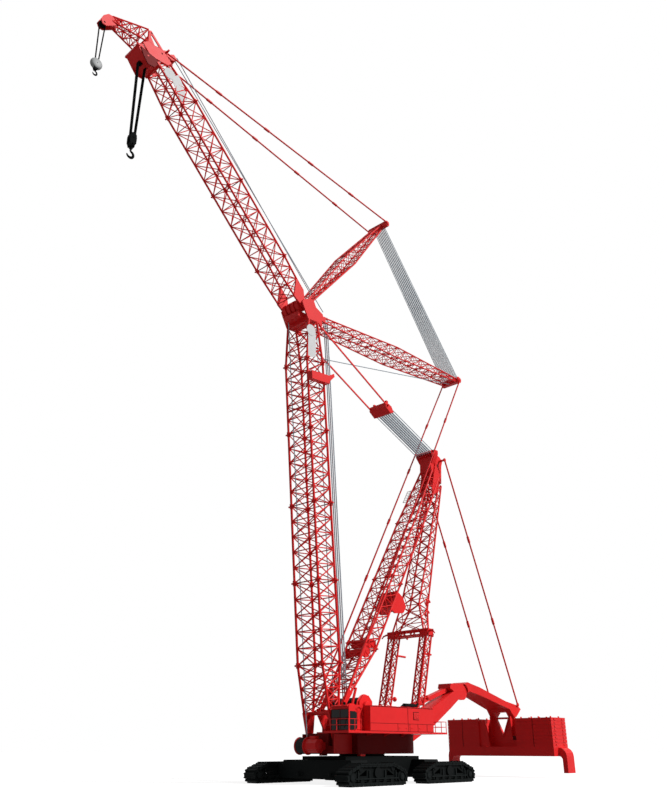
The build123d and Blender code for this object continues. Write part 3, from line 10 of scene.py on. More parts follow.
import bpy
import numpy as np
from bpy.props import FloatProperty, FloatVectorProperty, PointerProperty
from bpy.types import Operator, Panel, PropertyGroup
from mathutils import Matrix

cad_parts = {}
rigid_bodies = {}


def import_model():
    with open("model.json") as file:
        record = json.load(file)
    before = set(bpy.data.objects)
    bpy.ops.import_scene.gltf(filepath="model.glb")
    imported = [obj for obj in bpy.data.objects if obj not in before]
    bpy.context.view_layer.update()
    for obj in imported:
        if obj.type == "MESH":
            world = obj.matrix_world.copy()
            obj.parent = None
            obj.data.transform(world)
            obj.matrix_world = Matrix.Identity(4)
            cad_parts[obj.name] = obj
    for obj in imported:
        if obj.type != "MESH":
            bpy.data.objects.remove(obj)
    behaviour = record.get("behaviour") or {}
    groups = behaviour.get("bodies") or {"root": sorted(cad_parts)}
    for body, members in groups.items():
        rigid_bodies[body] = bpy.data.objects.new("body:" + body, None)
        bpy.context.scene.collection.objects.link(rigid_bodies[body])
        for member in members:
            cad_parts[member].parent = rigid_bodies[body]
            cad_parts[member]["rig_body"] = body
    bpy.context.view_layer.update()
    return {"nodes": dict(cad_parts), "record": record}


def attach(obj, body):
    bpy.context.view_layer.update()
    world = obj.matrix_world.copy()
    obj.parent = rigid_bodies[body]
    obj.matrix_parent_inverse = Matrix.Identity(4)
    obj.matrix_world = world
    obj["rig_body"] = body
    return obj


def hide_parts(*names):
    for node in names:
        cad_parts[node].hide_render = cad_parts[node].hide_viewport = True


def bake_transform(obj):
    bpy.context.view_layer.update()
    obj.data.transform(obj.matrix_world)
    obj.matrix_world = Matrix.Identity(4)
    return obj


bl_info = {
    "name": "Crawler crane dressing",
    "version": (1, 0, 0),
    "blender": (4, 5, 0),
    "location": "3D View > Sidebar > Crane",
    "description": "Builds the lattices, rigging, fittings and finishes of a crawler crane round its frame",
    "category": "Object",
}

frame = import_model()
NODE_SLOTS = {row["node"]: row["material_slot"] for row in frame["record"]["subparts"]}

SCALE = 10.0
SLEW_X = -6.15
SIDES = (-1, 1)
WHITE = (1.0, 1.0, 1.0, 1.0)
SHARP, BEVELLED = radians(40), radians(50)
BEND_CUTS = 24


# ------------------------------------------------------------------ places
# A pair is an (x, z) place; _W is a width over y, _D a depth, _L a length, _DEG an angle in degrees.

def ahead(start, angle, out, rise=0.0):
    """The (x, z) place out along a line at this angle in degrees, and rise square to it."""
    a = radians(angle)
    return start[0] + out * cos(a) - rise * sin(a), start[1] + out * sin(a) + rise * cos(a)


def heading(a, b):
    """The angle of the line from a to b, in degrees."""
    return degrees(atan2(b[1] - a[1], b[0] - a[0]))


FOOT, BOOM_DEG = (6.42, 4.6), 85.27
BOOM_W, BOOM_D = 3.9, 2.8
BUTT_L, BUTT_LEG, INSERT_L, INSERTS, TOP_L = 7.6, 2.6, 9.144, 4, 5.6
BOOM_TOP = BUTT_L + INSERTS * INSERT_L
HEAD_OUT = BOOM_TOP + TOP_L
FOOT_D, TOP_D = 0.7, 1.5
LEG_D = FOOT_D + (BOOM_D - FOOT_D) * BUTT_LEG / BUTT_L
HINGE = (12.0, 56.2)
JIB_DEG, JIB_START = 44.5, (16.37, 61.05)
JIB_W, JIB_D, JIB_L, JIB_INSERTS, JIB_TOP_L = 3.1, 2.66, 10.85, 2, 5.2
JIB_BUTT_L, JIB_BUTT_D = 5.0, 2.0
JIB_TOP = JIB_INSERTS * JIB_L
JIB_END, JIB_END_W, JIB_END_D = JIB_TOP + JIB_TOP_L, 2.48, 1.9
TIP_START, TIP_END, TIP_W, TIP_D = (38.3, 82.7), (42.7, 82.5), 2.5, 1.95
TIP_SHEAVE, TIP_X1 = (43.6, 81.2), 44.1
MAIN_SHEAVE = (38.0, 79.6)
JIB_STRUT_FOOT, JIB_STRUT_TIP = (10.75, 56.95), (-5.5, 77.9)
BOOM_STRUT_FOOT, BOOM_STRUT_TIP = (8.95, 55.5), (-22.4, 56.9)
MAST_FOOT, MAST_BEND, MAST_DEG, MAST_L = (5.1, 7.4), (-0.24, 14.76), 121.26, 29.3
MAST_TOP_W, MAST_W, MAST_D, MAST_LEG, MAST_LEG_D, MAST_WINCH_Y = 2.1, 3.1, 1.7, 2.6, 0.5, 1.25
MAST_HEAD = (-16.2, 42.2)
EQUALIZER = (-4.9, 46.9)
HITCH_FOOT, HITCH_SPLIT, HITCH_TRUNK, HITCH_HEAD = (-6.45, 5.2), (-9.55, 17.0), (-10.6, 20.4), (-16.3, 38.3)
DECK_Z = 5.2
JIB_STAY_END, STRAP_TOP, STRAP_LOW = (35.3, 82.55), (-16.398, 41.903), (-30.4, 9.1)
TACKLE_LOW_Y, TACKLE_HIGH_Y, TACKLE_TOP, TACKLE_Y = 1.3, 0.9, (-14.9, 42.7), 1.3
JIB_HEAD_SHEAVES = (33.95, 82.98)
MAIN_DROP, TIP_DROP = 11.4, 5.6
FRONT_DRUM = (8.1, 3.75)
DECK_DRUMS = ((1.95, 7.8, 0.95, 1.35), (-2.6, 6.9, 0.9, 1.2))
POD_X, POD_Y, POD_H = 6.12, 6.96, 2.15
BELT_W, BELT_T, SHOE_LUG, SHOE_PITCH = 1.78, 0.12, 0.08, 0.62
END_WHEEL_X, END_WHEEL_R, TOP_WHEEL_X, TOP_WHEEL_R, FRAME_W = 3.85, 0.62, 2.5, 0.3, 1.2
PODS = (("front_left", 1, 1), ("front_right", 1, -1), ("rear_left", -1, 1), ("rear_right", -1, -1))
STACK_Y, SLAB_LOW_Z, SLAB_PITCH, SLABS = 8.42, 3.72, 0.45, 8
STACKS = ((5.6, STACK_Y), (2.9, 5.5), (-STACK_Y, -5.95), (-5.85, -3.1))
HOUSE_Y, ROOF_Z = 6.0, 7.72
CAB_FACE_X, CAB_RIGHT_Y, CAB_LEFT_Y = 7.5, 2.42, 5.0
FLOOR_REACH, FLOOR_GREY, FLOOR_GLOW = 60.0, 0.3, 0.86
SUN_TURN, SUN_SPREAD = (-46.0, -30.0, 0.0), 8.0
CAMERA_AT, CAMERA_TURN = (6.754, 6.664, 0.354), (113.589, 0.0, 133.985)
CAMERA_LENS, CAMERA_SENSOR, CAMERA_REACH = 35.87, 36.0, 200.0
SQUARE = np.array([[-1, -1], [1, -1], [1, 1], [-1, 1]])
BOX_CORNERS = [[0, 2, 4], [1, 2, 4], [1, 3, 4], [0, 3, 4], [0, 2, 5], [1, 2, 5], [1, 3, 5], [0, 3, 5]]
BOX_FACES = np.array([[0, 3, 2, 1], [4, 5, 6, 7], [0, 1, 5, 4], [1, 2, 6, 5], [2, 3, 7, 6], [3, 0, 4, 7]])
AXES = {"x": (1, 2, 0), "y": (0, 2, 1), "z": (0, 1, 2)}
boom_at = partial(ahead, FOOT, BOOM_DEG)
jib_at = partial(ahead, JIB_START, JIB_DEG)
mast_at = partial(ahead, MAST_BEND, MAST_DEG)


def place3(at, y):
    """An (x, z) place at y."""
    return at[0], y, at[1]


def spread(at, half, count=8):
    """Places side by side across the machine at an (x, z) place, from -half to half."""
    return np.array(place3(at, 0.0)) + np.linspace(-half, half, count)[:, None] * (0.0, 1.0, 0.0)


def even(rows, middle=()):
    """An outline or a profile whose second half is the first one mirrored in nought."""
    return [*rows, *middle, *((-a, b) for a, b in rows[::-1])]


def foot_plate(foot, start, angle, back, half):
    """A solid leg's outline, from behind its pin to the full depth of the lattice that it carries."""
    return [ahead(foot, angle, -back, -0.2), ahead(foot, angle, -back, 0.2), ahead(start, angle, 0, half),
            ahead(start, angle, 0, -half)]


# ------------------------------------------------------------------ shapes

def unit(v):
    """Each vector divided by its length."""
    return v / np.linalg.norm(v, axis=-1, keepdims=True)


def joined(shapes):
    """One shape from several: points stacked, and polygons moved on by the points before them."""
    points, polys, base = [], [], 0
    for p, q in shapes:
        points.append(p)
        polys += [poly + base for poly in q]
        base += len(p)
    return np.vstack(points), polys


def square_to(t):
    """Two unit vectors square to each direction t and to each other."""
    helper = np.where(np.abs(t[..., 2:3]) < 0.9, [0.0, 0.0, 1.0], [1.0, 0.0, 0.0])
    u = unit(np.cross(t, helper))
    return u, np.cross(t, u)


def circle(sides, u, v):
    """Directions round a circle: cos a * u + sin a * v, with angles a that share the turn evenly."""
    a = (2 * pi * np.arange(sides) / sides)[:, None]
    return np.cos(a) * u[..., None, :] + np.sin(a) * v[..., None, :]


def skin(i):
    """Quads between each row of point numbers and the next; the last axis closes on itself."""
    j = np.roll(i, -1, -1)
    return np.stack([i[:-1], j[:-1], j[1:], i[1:]], -1).reshape(-1, 4)


def rows_of(places):
    """One place or several as an array of rows."""
    return np.atleast_2d(np.asarray(places, float))


def area(flat):
    """Twice the signed area inside a closed outline."""
    after = np.roll(flat, -1, 0)
    return np.sum(flat[:, 0] * after[:, 1] - after[:, 0] * flat[:, 1])


def bars(starts, ends, radius, sides=8, cuts=1):
    """Round bars, each cut along its length into a number of short lengths.

    A point is its place along the bar + radius * (cos a * u + sin a * v), u and v square to the bar.
    """
    a, b = rows_of(starts), rows_of(ends)
    t = np.linspace(0, 1, cuts + 1)[:, None, None]
    points = (a * (1 - t) + b * t)[:, :, None] + radius * circle(sides, *square_to(unit(b - a)))
    i = np.arange((cuts + 1) * len(a) * sides).reshape(cuts + 1, -1, sides)
    return points.reshape(-1, 3), [skin(i), i[0, :, ::-1], i[-1]]


def across(places, half, radius, sides=12):
    """Round bars across the machine, from -half to half, through (x, z) places."""
    at = rows_of(places)
    ends = np.stack([at[:, 0], np.broadcast_to(half, len(at)), at[:, 1]], -1)
    return bars(ends * (1, -1, 1), ends, radius, sides)


def bolts(centre, radius, count, reach, thick):
    """A ring of bolt heads that stand out along y by reach, on the circle centre + radius * (cos a, sin a)."""
    at = np.asarray(centre, float) + radius * circle(count, *np.eye(3)[[0, 2]])
    return bars(at, at + (0.0, reach, 0.0), thick, 6)


def boxes(points):
    """Every eight points as a box: a ring of four corners, then the ring that faces it."""
    base = np.arange(points.size // 24)[:, None, None] * 8
    return points.reshape(-1, 3), [(base + BOX_FACES).reshape(-1, 4)]


def blocks(rows, at=(0.0, 0.0, 0.0)):
    """Upright boxes from rows of x0, x1, y0, y1, z0, z1 round one place or several, in either order."""
    spans = np.sort(rows_of(rows).reshape(-1, 3, 2) + rows_of(at)[:, :, None], -1).reshape(-1, 6)
    return boxes(spans[:, BOX_CORNERS])


def beams(starts, ends, wide, high, up=(0.0, 0.0, 1.0)):
    """Square bars: a point is the bar's end +- wide / 2 along its side +- high / 2 along its upright."""
    a, b = rows_of(starts), rows_of(ends)
    t = unit(b - a)
    side = unit(np.cross(t, up))
    top = np.cross(t, side)
    ring = SQUARE[:, :1] * wide / 2 * side[:, None] + SQUARE[:, 1:] * high / 2 * top[:, None]
    return boxes(np.stack([a[:, None] + ring, b[:, None] + ring], 1))


def prism(outline, lo, hi, axis="y", at=(0.0, 0.0)):
    """A flat outline round a place, carried along one axis from lo to hi."""
    flat = np.asarray(outline, float) + at
    first, second, along = AXES[axis]
    points = np.zeros((2, len(flat), 3))
    points[..., first], points[..., second] = flat.T
    points[0, :, along], points[1, :, along] = lo, hi
    i = np.arange(2 * len(flat)).reshape(2, -1)
    polys = [skin(i), i[:1, ::-1], i[1:]]
    if (area(flat) < 0) != (axis == "y"):
        polys = [poly[:, ::-1] for poly in polys]
    return points.reshape(-1, 3), polys


def legs(outline, y0, y1, at=(0.0, 0.0)):
    """A left and a right plate of one outline."""
    return [prism(outline, a, b, at=at) for a, b in ((y0, y1), (-y1, -y0))]


def turned(profile, centre, steps=32, axis="y"):
    """A closed profile of (along, radius) rows carried round an axis through centre."""
    rows = np.asarray(profile, float)
    first, second, along = AXES[axis]
    turn = (2 * pi * np.arange(steps) / steps)[:, None]
    points = np.zeros((steps, len(rows), 3))
    points[..., first] = centre[first] + np.cos(turn) * rows[:, 1]
    points[..., second] = centre[second] + np.sin(turn) * rows[:, 1]
    points[..., along] = centre[along] + rows[:, 0]
    i = np.arange(steps * len(rows)).reshape(steps, -1)
    quads = skin(np.vstack([i, i[:1]]))
    if (area(rows) > 0) == (axis == "y"):
        quads = quads[:, ::-1]
    return points.reshape(-1, 3), [quads]


def ring(half, inner, outer):
    """A square-edged ring's profile."""
    return [(-half, inner), (half, inner), (half, outer), (-half, outer)]


def flange(rim):
    """A drum flange's profile, with its edge broken."""
    return even([(-0.06, 0.1), (-0.06, rim - 0.04), (-0.03, rim)])


def knobs(centres, radius, sides=10, rings=6):
    """Balls: latitude and longitude circles round each centre, closed by a small ring at each pole."""
    c = rows_of(centres)
    tilt = np.linspace(-pi / 2 + 0.2, pi / 2 - 0.2, rings)[:, None, None]
    x, y, z = np.eye(3)
    ball = np.cos(tilt) * circle(sides, x, y) + np.sin(tilt) * z
    i = np.arange(len(c) * rings * sides).reshape(-1, rings, sides)
    polys = [skin(i.transpose(1, 0, 2)), i[:, 0, ::-1], i[:, -1]]
    return (c[:, None, None] + radius * ball).reshape(-1, 3), polys


def tube(path, radius, side=(0.0, 1.0, 0.0), sides=10):
    """A circle, of one radius or one for each place, carried along a path that lies square to side."""
    p = np.asarray(path, float)
    u = np.broadcast_to(np.asarray(side, float), p.shape)
    v = unit(np.cross(unit(np.gradient(p, axis=0)), u))
    r = np.broadcast_to(np.asarray(radius, float), (len(p),))[:, None, None]
    i = np.arange(len(p) * sides).reshape(-1, sides)
    return (p[:, None] + r * circle(sides, u, v)).reshape(-1, 3), [skin(i), i[:1, ::-1], i[-1:]]


def bent(centre, radius, start, stop, y=0.0, count=12):
    """Places on an arc in the (x, z) plane at y, from one angle to another in degrees."""
    a = np.radians(np.linspace(start, stop, count))
    return np.stack([centre[0] + radius * np.cos(a), np.full(count, y), centre[1] + radius * np.sin(a)], -1)


def lattice(start, end, sizes0, sizes1, bays, chord, brace, y=0.0, reach=0.0, sleeve=1.45):
    """A four-chord lattice between two (x, z) places: corner = axis + side * width / 2 + rise * depth / 2.

    Each bay has crossed diagonals on its four sides, and each bay's end a ring of four bars. With a reach,
    each chord's lower end has a sleeve that long on both sides of it, and a pin through that.
    """
    t = np.linspace(0, 1, bays + 1)[:, None]
    angle = radians(heading(start, end))
    axis = np.array([start]) * (1 - t) + np.array([end]) * t
    half = (np.array([sizes0]) * (1 - t) + np.array([sizes1]) * t) / 2
    rise = half[:, 1:2] * SQUARE[None, :, 1]
    corner = np.stack([axis[:, :1] - sin(angle) * rise, y + half[:, :1] * SQUARE[None, :, 0],
                       axis[:, 1:] + cos(angle) * rise], -1)
    turn = np.roll(corner, -1, 1)
    starts = np.concatenate([corner.reshape(-1, 3), corner[:-1].reshape(-1, 3), turn[:-1].reshape(-1, 3)])
    ends = np.concatenate([turn.reshape(-1, 3), turn[1:].reshape(-1, 3), corner[1:].reshape(-1, 3)])
    shapes = [bars(corner[0], corner[-1], chord, 12), bars(starts, ends, brace, 6)]
    if reach:
        r, low = chord * sleeve, corner[0]
        for way, thick, sides in (((cos(angle) * reach, 0.0, sin(angle) * reach), r, 12),
                                  ((0.0, r * 2.1, 0.0), r / 2, 8)):
            shapes.append(bars(low - way, low + way, thick, sides))
    return shapes


def inserts(name, body, at, start, length, count, size, chord, brace, reach):
    """A boom's equal middle sections, one piece each."""
    for k in range(count):
        low = start + k * length
        shapes = lattice(at(low), at(low + length), size, size, 5, chord, brace, reach=reach)
        made(f"{name}_lattice_{k + 1}", shapes, body, f"{name}_insert_{k + 1}")


# ------------------------------------------------------------------ making a piece

def made(name, shapes, body, node=None, finish="red_paint", bevel=0.0):
    """Puts shapes into one mesh that rides on a body, and in place of a frame node if one is named.

    Edges sharper than 40 degrees stay sharp.
    """
    points, polys = joined(shapes)
    points = (points + (SLEW_X, 0.0, 0.0)) / SCALE
    mesh = bpy.data.meshes.new(name)
    mesh.from_pydata(points.tolist(), [], [face for poly in polys for face in poly.tolist()])
    mesh.shade_smooth()
    mesh.set_sharp_from_angle(angle=SHARP)
    mesh.materials.append(bpy.data.materials[finish])
    piece = bpy.data.objects.new(name, mesh)
    bpy.context.scene.collection.objects.link(piece)
    if bevel:
        edge = piece.modifiers.new("edges", "BEVEL")
        edge.width, edge.segments, edge.angle_limit = bevel / SCALE, 2, BEVELLED
        edge.harden_normals = False
    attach(piece, body)
    if node:
        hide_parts(node)
    return piece


# ------------------------------------------------------------------ shader maths

class Wire:
    """A shader socket on which Python's operators act: each one adds a Math node."""

    def __init__(self, tree, socket):
        self.tree, self.socket = tree, socket

    def math(self, kind, *values):
        node = self.tree.nodes.new("ShaderNodeMath")
        node.operation = kind
        for slot, value in zip(node.inputs, values):
            if isinstance(value, Wire):
                self.tree.links.new(value.socket, slot)
            else:
                slot.default_value = value
        return Wire(self.tree, node.outputs[0])

    def __add__(self, other):
        return self.math("ADD", self, other)

    def __sub__(self, other):
        return self.math("SUBTRACT", self, other)

    def __rsub__(self, other):
        return self.math("SUBTRACT", other, self)

    def __mul__(self, other):
        return self.math("MULTIPLY", self, other)

    __radd__ = __add__
    __rmul__ = __mul__

    def clamped(self):
        return self.math("MINIMUM", self.math("MAXIMUM", self, 0.0), 1.0)


class Finish:
    """A node material, with one method that adds any node."""

    def __init__(self, name):
        self.material = bpy.data.materials.get(name) or bpy.data.materials.new(name)
        self.material.use_nodes = True
        self.tree = self.material.node_tree
        self.tree.nodes.clear()

    def node(self, kind, settings=None, values=None, out=0):
        """Adds a node, sets its settings and then its sockets' values or links, and gives one output."""
        made_node = self.tree.nodes.new(kind)
        for key, value in (settings or {}).items():
            setattr(made_node, key, value)
        for key, value in (values or {}).items():
            socket = made_node.inputs[key]
            if isinstance(value, Wire):
                self.tree.links.new(value.socket, socket)
            else:
                socket.default_value = value
        return Wire(self.tree, made_node.outputs[out]) if len(made_node.outputs) else None

    def place(self):
        return self.node("ShaderNodeTexCoord", out="Object")

    def noise(self, vector, scale, detail=3.0, rough=0.55):
        return self.node("ShaderNodeTexNoise", values={"Vector": vector, "Scale": scale, "Detail": detail,
                                                       "Roughness": rough})

    def mix(self, factor, a, b):
        """A colour between a and b."""
        return self.node("ShaderNodeMix", {"data_type": "RGBA"}, {0: factor, 6: a, 7: b}, out=2)

    def bump(self, height, strength, distance):
        values = {"Height": height, "Strength": strength, "Distance": distance}
        return self.node("ShaderNodeBump", values=values)

    def surface(self, values):
        shader = self.node("ShaderNodeBsdfPrincipled", values=values)
        self.node("ShaderNodeOutputMaterial", values={"Surface": shader})
        return self.material


def seen_rays(tree):
    """One for a ray from the camera, by mirror or through glass; nought for any other."""
    rays = tree.nodes.new("ShaderNodeLightPath").outputs
    camera, glossy, through = (Wire(tree, rays[f"Is {kind} Ray"])
                               for kind in ("Camera", "Glossy", "Transmission"))
    return (camera + glossy + through).clamped()


def rgba(colour, gain=1.0):
    return (*[min(1.0, c * gain) for c in colour], 1.0)


def enamel(name, colour, rough, grime, gloss):
    """Sprayed paint: faint cloudiness in its colour, dust in broad patches, a fine orange-peel bump."""
    f = Finish(name)
    at = f.place()
    cloud = f.noise(at, 9.0, 4.0)
    dust = ((f.noise(at, 2.3, 5.0, 0.65) - 0.5) * 3.2).clamped() * grime
    speck = ((f.noise(at, 160.0, 2.0) - 0.68) * 9.0).clamped() * grime
    tone = f.mix(cloud, rgba(colour, 0.9), rgba(colour, 1.1))
    dusty = f.mix(dust, tone, rgba([c * 0.7 + 0.012 for c in colour]))
    worn = f.mix(speck, dusty, rgba([c * 0.4 for c in colour]))
    return f.surface({"Specular IOR Level": gloss, "Base Color": worn,
                      "Roughness": rough + cloud * 0.1 + dust * 0.25,
                      "Normal": f.bump(f.noise(at, 420.0, 2.0), 0.25, 0.0004)})


def metal(name, colour, rough, metallic, gloss):
    """Bare or oiled steel: fine streaks, darker in blotches, with a rougher skin where it is darker."""
    f = Finish(name)
    at = f.place()
    lines = f.node("ShaderNodeMapping", values={"Vector": at, "Scale": (40.0, 40.0, 400.0)})
    grain = f.noise(lines, 1.0, 3.0)
    blotch = f.noise(at, 14.0, 4.0)
    tone = f.mix(blotch, rgba(colour, 0.7), rgba(colour, 1.25))
    return f.surface({"Specular IOR Level": gloss, "Base Color": tone, "Metallic": metallic + blotch * 0.1,
                      "Roughness": rough + grain * 0.15 - blotch * 0.1, "Normal": f.bump(grain, 0.3, 0.0005)})


def wire_rope(name, colour):
    """Laid wire rope: slanted strands as a wave across the rope, dark in the grooves."""
    f = Finish(name)
    at = f.place()
    lay = f.node("ShaderNodeTexWave", {"bands_direction": "DIAGONAL"},
                 {"Vector": at, "Scale": 70.0, "Distortion": 0.6, "Detail": 1.0})
    tone = f.mix(lay, rgba(colour, 0.55), rgba(colour, 1.2))
    return f.surface({"Specular IOR Level": 0.2, "Metallic": 0.15, "Base Color": tone,
                      "Roughness": 0.6 - lay * 0.1, "Normal": f.bump(lay, 0.5, 0.001)})


def tinted(name, colour):
    """Dark tinted glass: nearly black and smooth, with a faint film in cloudy patches."""
    f = Finish(name)
    film = f.noise(f.place(), 6.0, 2.0)
    return f.surface({"IOR": 1.5, "Specular IOR Level": 0.16, "Roughness": 0.04 + film * 0.05,
                      "Base Color": f.mix(film, rgba(colour, 0.8), rgba(colour, 1.3))})


def upholstery(name, colour):
    """Woven seat cover: crossing threads from two waves, with a soft sheen of wear."""
    f = Finish(name)
    at = f.place()
    warp = f.node("ShaderNodeTexWave", {"bands_direction": "Y"}, {"Vector": at, "Scale": 160.0})
    weft = f.node("ShaderNodeTexWave", {"bands_direction": "Z"}, {"Vector": at, "Scale": 160.0})
    weave = (warp + weft) * 0.5
    return f.surface({"Base Color": f.mix(weave, rgba(colour, 0.7), rgba(colour, 1.5)),
                      "Roughness": 0.85 - weave * 0.1, "Normal": f.bump(weave, 0.4, 0.0006)})


class CraneLook(PropertyGroup):
    """Sizes and colours that a user would change."""

    red: FloatVectorProperty(name="Red paint", description="Colour of the painted steelwork", subtype="COLOR",
                             size=3, default=(0.72, 0.017, 0.018), min=0, max=1)
    black: FloatVectorProperty(name="Black paint", description="Colour of the carbody and pods",
                               subtype="COLOR", size=3, default=(0.0032, 0.0042, 0.0042), min=0, max=1)
    steel: FloatVectorProperty(name="Track steel", description="Colour of the belts", subtype="COLOR",
                               size=3, default=(0.006, 0.0075, 0.0075), min=0, max=1)
    rope: FloatVectorProperty(name="Rope", description="Colour of the wire ropes", subtype="COLOR",
                              size=3, default=(0.33, 0.39, 0.44), min=0, max=1)
    dark_rope: FloatVectorProperty(name="Load rope", description="Colour of the greased load ropes",
                                   subtype="COLOR", size=3, default=(0.004, 0.0048, 0.005), min=0, max=1)
    white: FloatVectorProperty(name="Plate white", description="Colour of the blank plates", subtype="COLOR",
                               size=3, default=(0.6, 0.6, 0.6), min=0, max=1)
    chord: FloatProperty(name="Chord radius", description="Radius of the boom's chords at full size",
                         default=0.15, min=0.05, max=0.16, unit="LENGTH")
    brace: FloatProperty(name="Brace radius", description="Radius of the boom's braces at full size",
                         default=0.07, min=0.03, max=0.1, unit="LENGTH")
    rope_radius: FloatProperty(name="Rope radius", description="Radius of a single rope at full size",
                               default=0.06, min=0.01, max=0.08, unit="LENGTH")
    sun: FloatProperty(name="Key light", description="Strength of the key light", default=3.6, min=0, max=10)
    fill: FloatProperty(name="Fill light", description="Strength of the surrounding light", default=0.2,
                        min=0, max=2)


class CRANE_OT_finishes(Operator):
    """Make the node materials and give every frame node its own"""

    bl_idname = "crane.finishes"
    bl_label = "Finishes"

    def execute(self, context):
        look = context.scene.crane_look
        for name, colour, *how in (
                ("red_paint", look.red, 0.4, 0.2, 0.14), ("black_paint", look.black, 0.6, 0.15, 0.05),
                ("white_paint", look.white, 0.5, 0.3, 0.1),
                # seam_dark is a near-black red: the panel joints' own colour, and painted shade under the roof
                # edge, behind the louvres and in the gaps between weight stacks; the cab's window bars use it
                # too.
                ("seam_dark", [c * 0.12 for c in look.red], 0.6, 0.1, 0.1),
                ("block_grey", (0.3, 0.31, 0.31), 0.45, 0.3, 0.3),
                ("pale_grey", (0.45, 0.45, 0.45), 0.5, 0.2, 0.3),
                ("hub_grey", [c * 1.8 for c in look.black], 0.6, 0.2, 0.06),
                # bed_shade is the red paint darkened as painted shade, for the bed's sides in the deck's
                # shadow and for the jib head's near cheek.
                ("bed_shade", [c * 0.22 for c in look.red], 0.55, 0.2, 0.08),
                ("hook_black", look.dark_rope, 0.7, 0.1, 0.03)):
            enamel(name, colour, *how)
        metal("track_steel", look.steel, 0.65, 0.0, 0.05)
        wire_rope("steel_rope", look.rope)
        wire_rope("load_rope", look.dark_rope)
        tinted("tinted_glass", (0.002, 0.0026, 0.003))
        upholstery("seat_cover", (0.03, 0.03, 0.032))
        for node, piece in frame["nodes"].items():
            piece.data.materials.clear()
            # The bed frame takes the painted shade in place of its slot's paint.
            finish = "bed_shade" if node == "bed_frame" else NODE_SLOTS[node]
            piece.data.materials.append(bpy.data.materials[finish])
        return {"FINISHED"}


class CRANE_OT_boom(Operator):
    """Build the main boom's butt, inserts and top as round-tube lattices"""

    bl_idname = "crane.boom"
    bl_label = "Main boom"

    def execute(self, context):
        look = context.scene.crane_look
        chord, brace = look.chord, look.brace
        half, size = LEG_D / 2 + chord, (BOOM_W, BOOM_D)
        leg = ((-0.25, -0.3), (-0.25, 0.3), (0.3, 0.45), (BUTT_LEG, half), (BUTT_LEG, -half), (0.3, -0.45))
        shapes = [*lattice(boom_at(BUTT_LEG), boom_at(BUTT_L), (BOOM_W, LEG_D), size, 4, chord, brace),
                  *legs([boom_at(*row) for row in leg], BOOM_W / 2 - chord, BOOM_W / 2 + chord),
                  across(boom_at(BUTT_LEG - 0.15), BOOM_W / 2, 0.18, 16)]
        made("boom_butt_lattice", shapes, "main_boom", "boom_butt")
        inserts("boom", "main_boom", boom_at, BUTT_L, INSERT_L, INSERTS, size, chord, brace, 0.3)
        end_size = (BOOM_W, TOP_D)
        shapes = lattice(boom_at(BOOM_TOP), boom_at(HEAD_OUT), size, end_size, 3, chord, brace, reach=0.3)
        made("boom_top_lattice", shapes, "main_boom", "boom_top")
        return {"FINISHED"}


class CRANE_OT_jib(Operator):
    """Build the luffing jib's butt, inserts and top as round-tube lattices, and its head in plate"""

    bl_idname = "crane.jib"
    bl_label = "Luffing jib"

    def execute(self, context):
        look = context.scene.crane_look
        chord, brace = look.chord * 0.87, look.brace * 0.9
        half = JIB_BUTT_D / 2 + chord
        leg = [ahead(HINGE, JIB_DEG, -0.35, -0.2), ahead(HINGE, JIB_DEG, 0.0, -0.45),
               jib_at(-JIB_BUTT_L, -half), jib_at(-JIB_BUTT_L, half), ahead(HINGE, JIB_DEG, 0.0, 0.45),
               ahead(HINGE, JIB_DEG, -0.35, 0.2)]
        web = [jib_at(-JIB_BUTT_L, -half), jib_at(-JIB_BUTT_L, half), jib_at(1.8 - JIB_BUTT_L, half)]
        size = (JIB_W, JIB_D)
        shapes = lattice(jib_at(-JIB_BUTT_L), jib_at(0), (JIB_W, JIB_BUTT_D), size, 3, chord, brace)
        shapes += legs(leg, 1.42, 1.68) + legs(web, 1.44, 1.66)
        made("jib_butt_lattice", shapes, "luffing_jib", "jib_butt")
        inserts("jib", "luffing_jib", jib_at, 0.0, JIB_L, JIB_INSERTS, size, chord, brace, 0.28)
        end_size = (JIB_END_W, JIB_END_D)
        shapes = lattice(jib_at(JIB_TOP), jib_at(JIB_END), size, end_size, 3, chord, brace, reach=0.28)
        made("jib_top_lattice", shapes, "luffing_jib", "jib_top")
        rail = [(38.0, 83.64), (35.73, 81.57), (36.64, 81.93), (37.85, 83.03)]
        crown = [(38.29, 83.49), (38.0, 83.64), (37.85, 83.03), (37.98, 82.75)]
        prop = [(38.29, 83.49), (37.98, 82.75), (37.32, 81.75), (38.25, 81.73)]
        plate = [(35.73, 81.57), (34.75, 80.75), (35.2, 80.1), (36.97, 79.9), (37.92, 80.05), (38.95, 81.08),
                 (38.25, 81.73), (37.32, 81.75), (36.64, 81.93)]
        shapes = [shape for outline in (rail, crown, prop, plate) for shape in legs(outline, 1.24, 1.37)]
        box = [(36.3, 79.25), (37.3, 78.75), (38.6, 79.25), (39.43, 80.31), (38.9, 81.0), (37.9, 80.1),
               (36.4, 79.95)]
        cheek = [(36.3, 79.7), (37.0, 78.5), (37.9, 78.4), (38.6, 79.25), (39.1, 80.3), (37.9, 80.1)]
        sill = [jib_at(JIB_END + out, rise)
                for out, rise in ((0, -1.2), (0, -0.85), (0.55, -0.85), (0.55, -1.2))]
        shapes += [prism(box, -1.37, 1.24), prism(cheek, -1.37, -1.24), prism(sill, -1.45, 1.45),
                   beams([(39.4, -1.45, 80.3)], [(39.4, 1.45, 80.3)], 0.28, 0.28),
                   across([(37.9, 83.3), (36.2, 81.3), JIB_STAY_END, MAIN_SHEAVE], 1.37, 0.13)]
        shapes += legs([(35.05, 82.6), (35.3, 82.8), (36.7, 82.0), (36.2, 81.3), (35.7, 81.5)], 0.7, 0.9)
        # The near cheek is painted in the dark red of painted shade, where the head's side falls in shadow.
        made("jib_head_cheek", [prism(cheek, 1.24, 1.36)], "luffing_jib", finish="bed_shade")
        made("jib_head_frame", shapes, "luffing_jib", "jib_head", bevel=0.015)
        return {"FINISHED"}


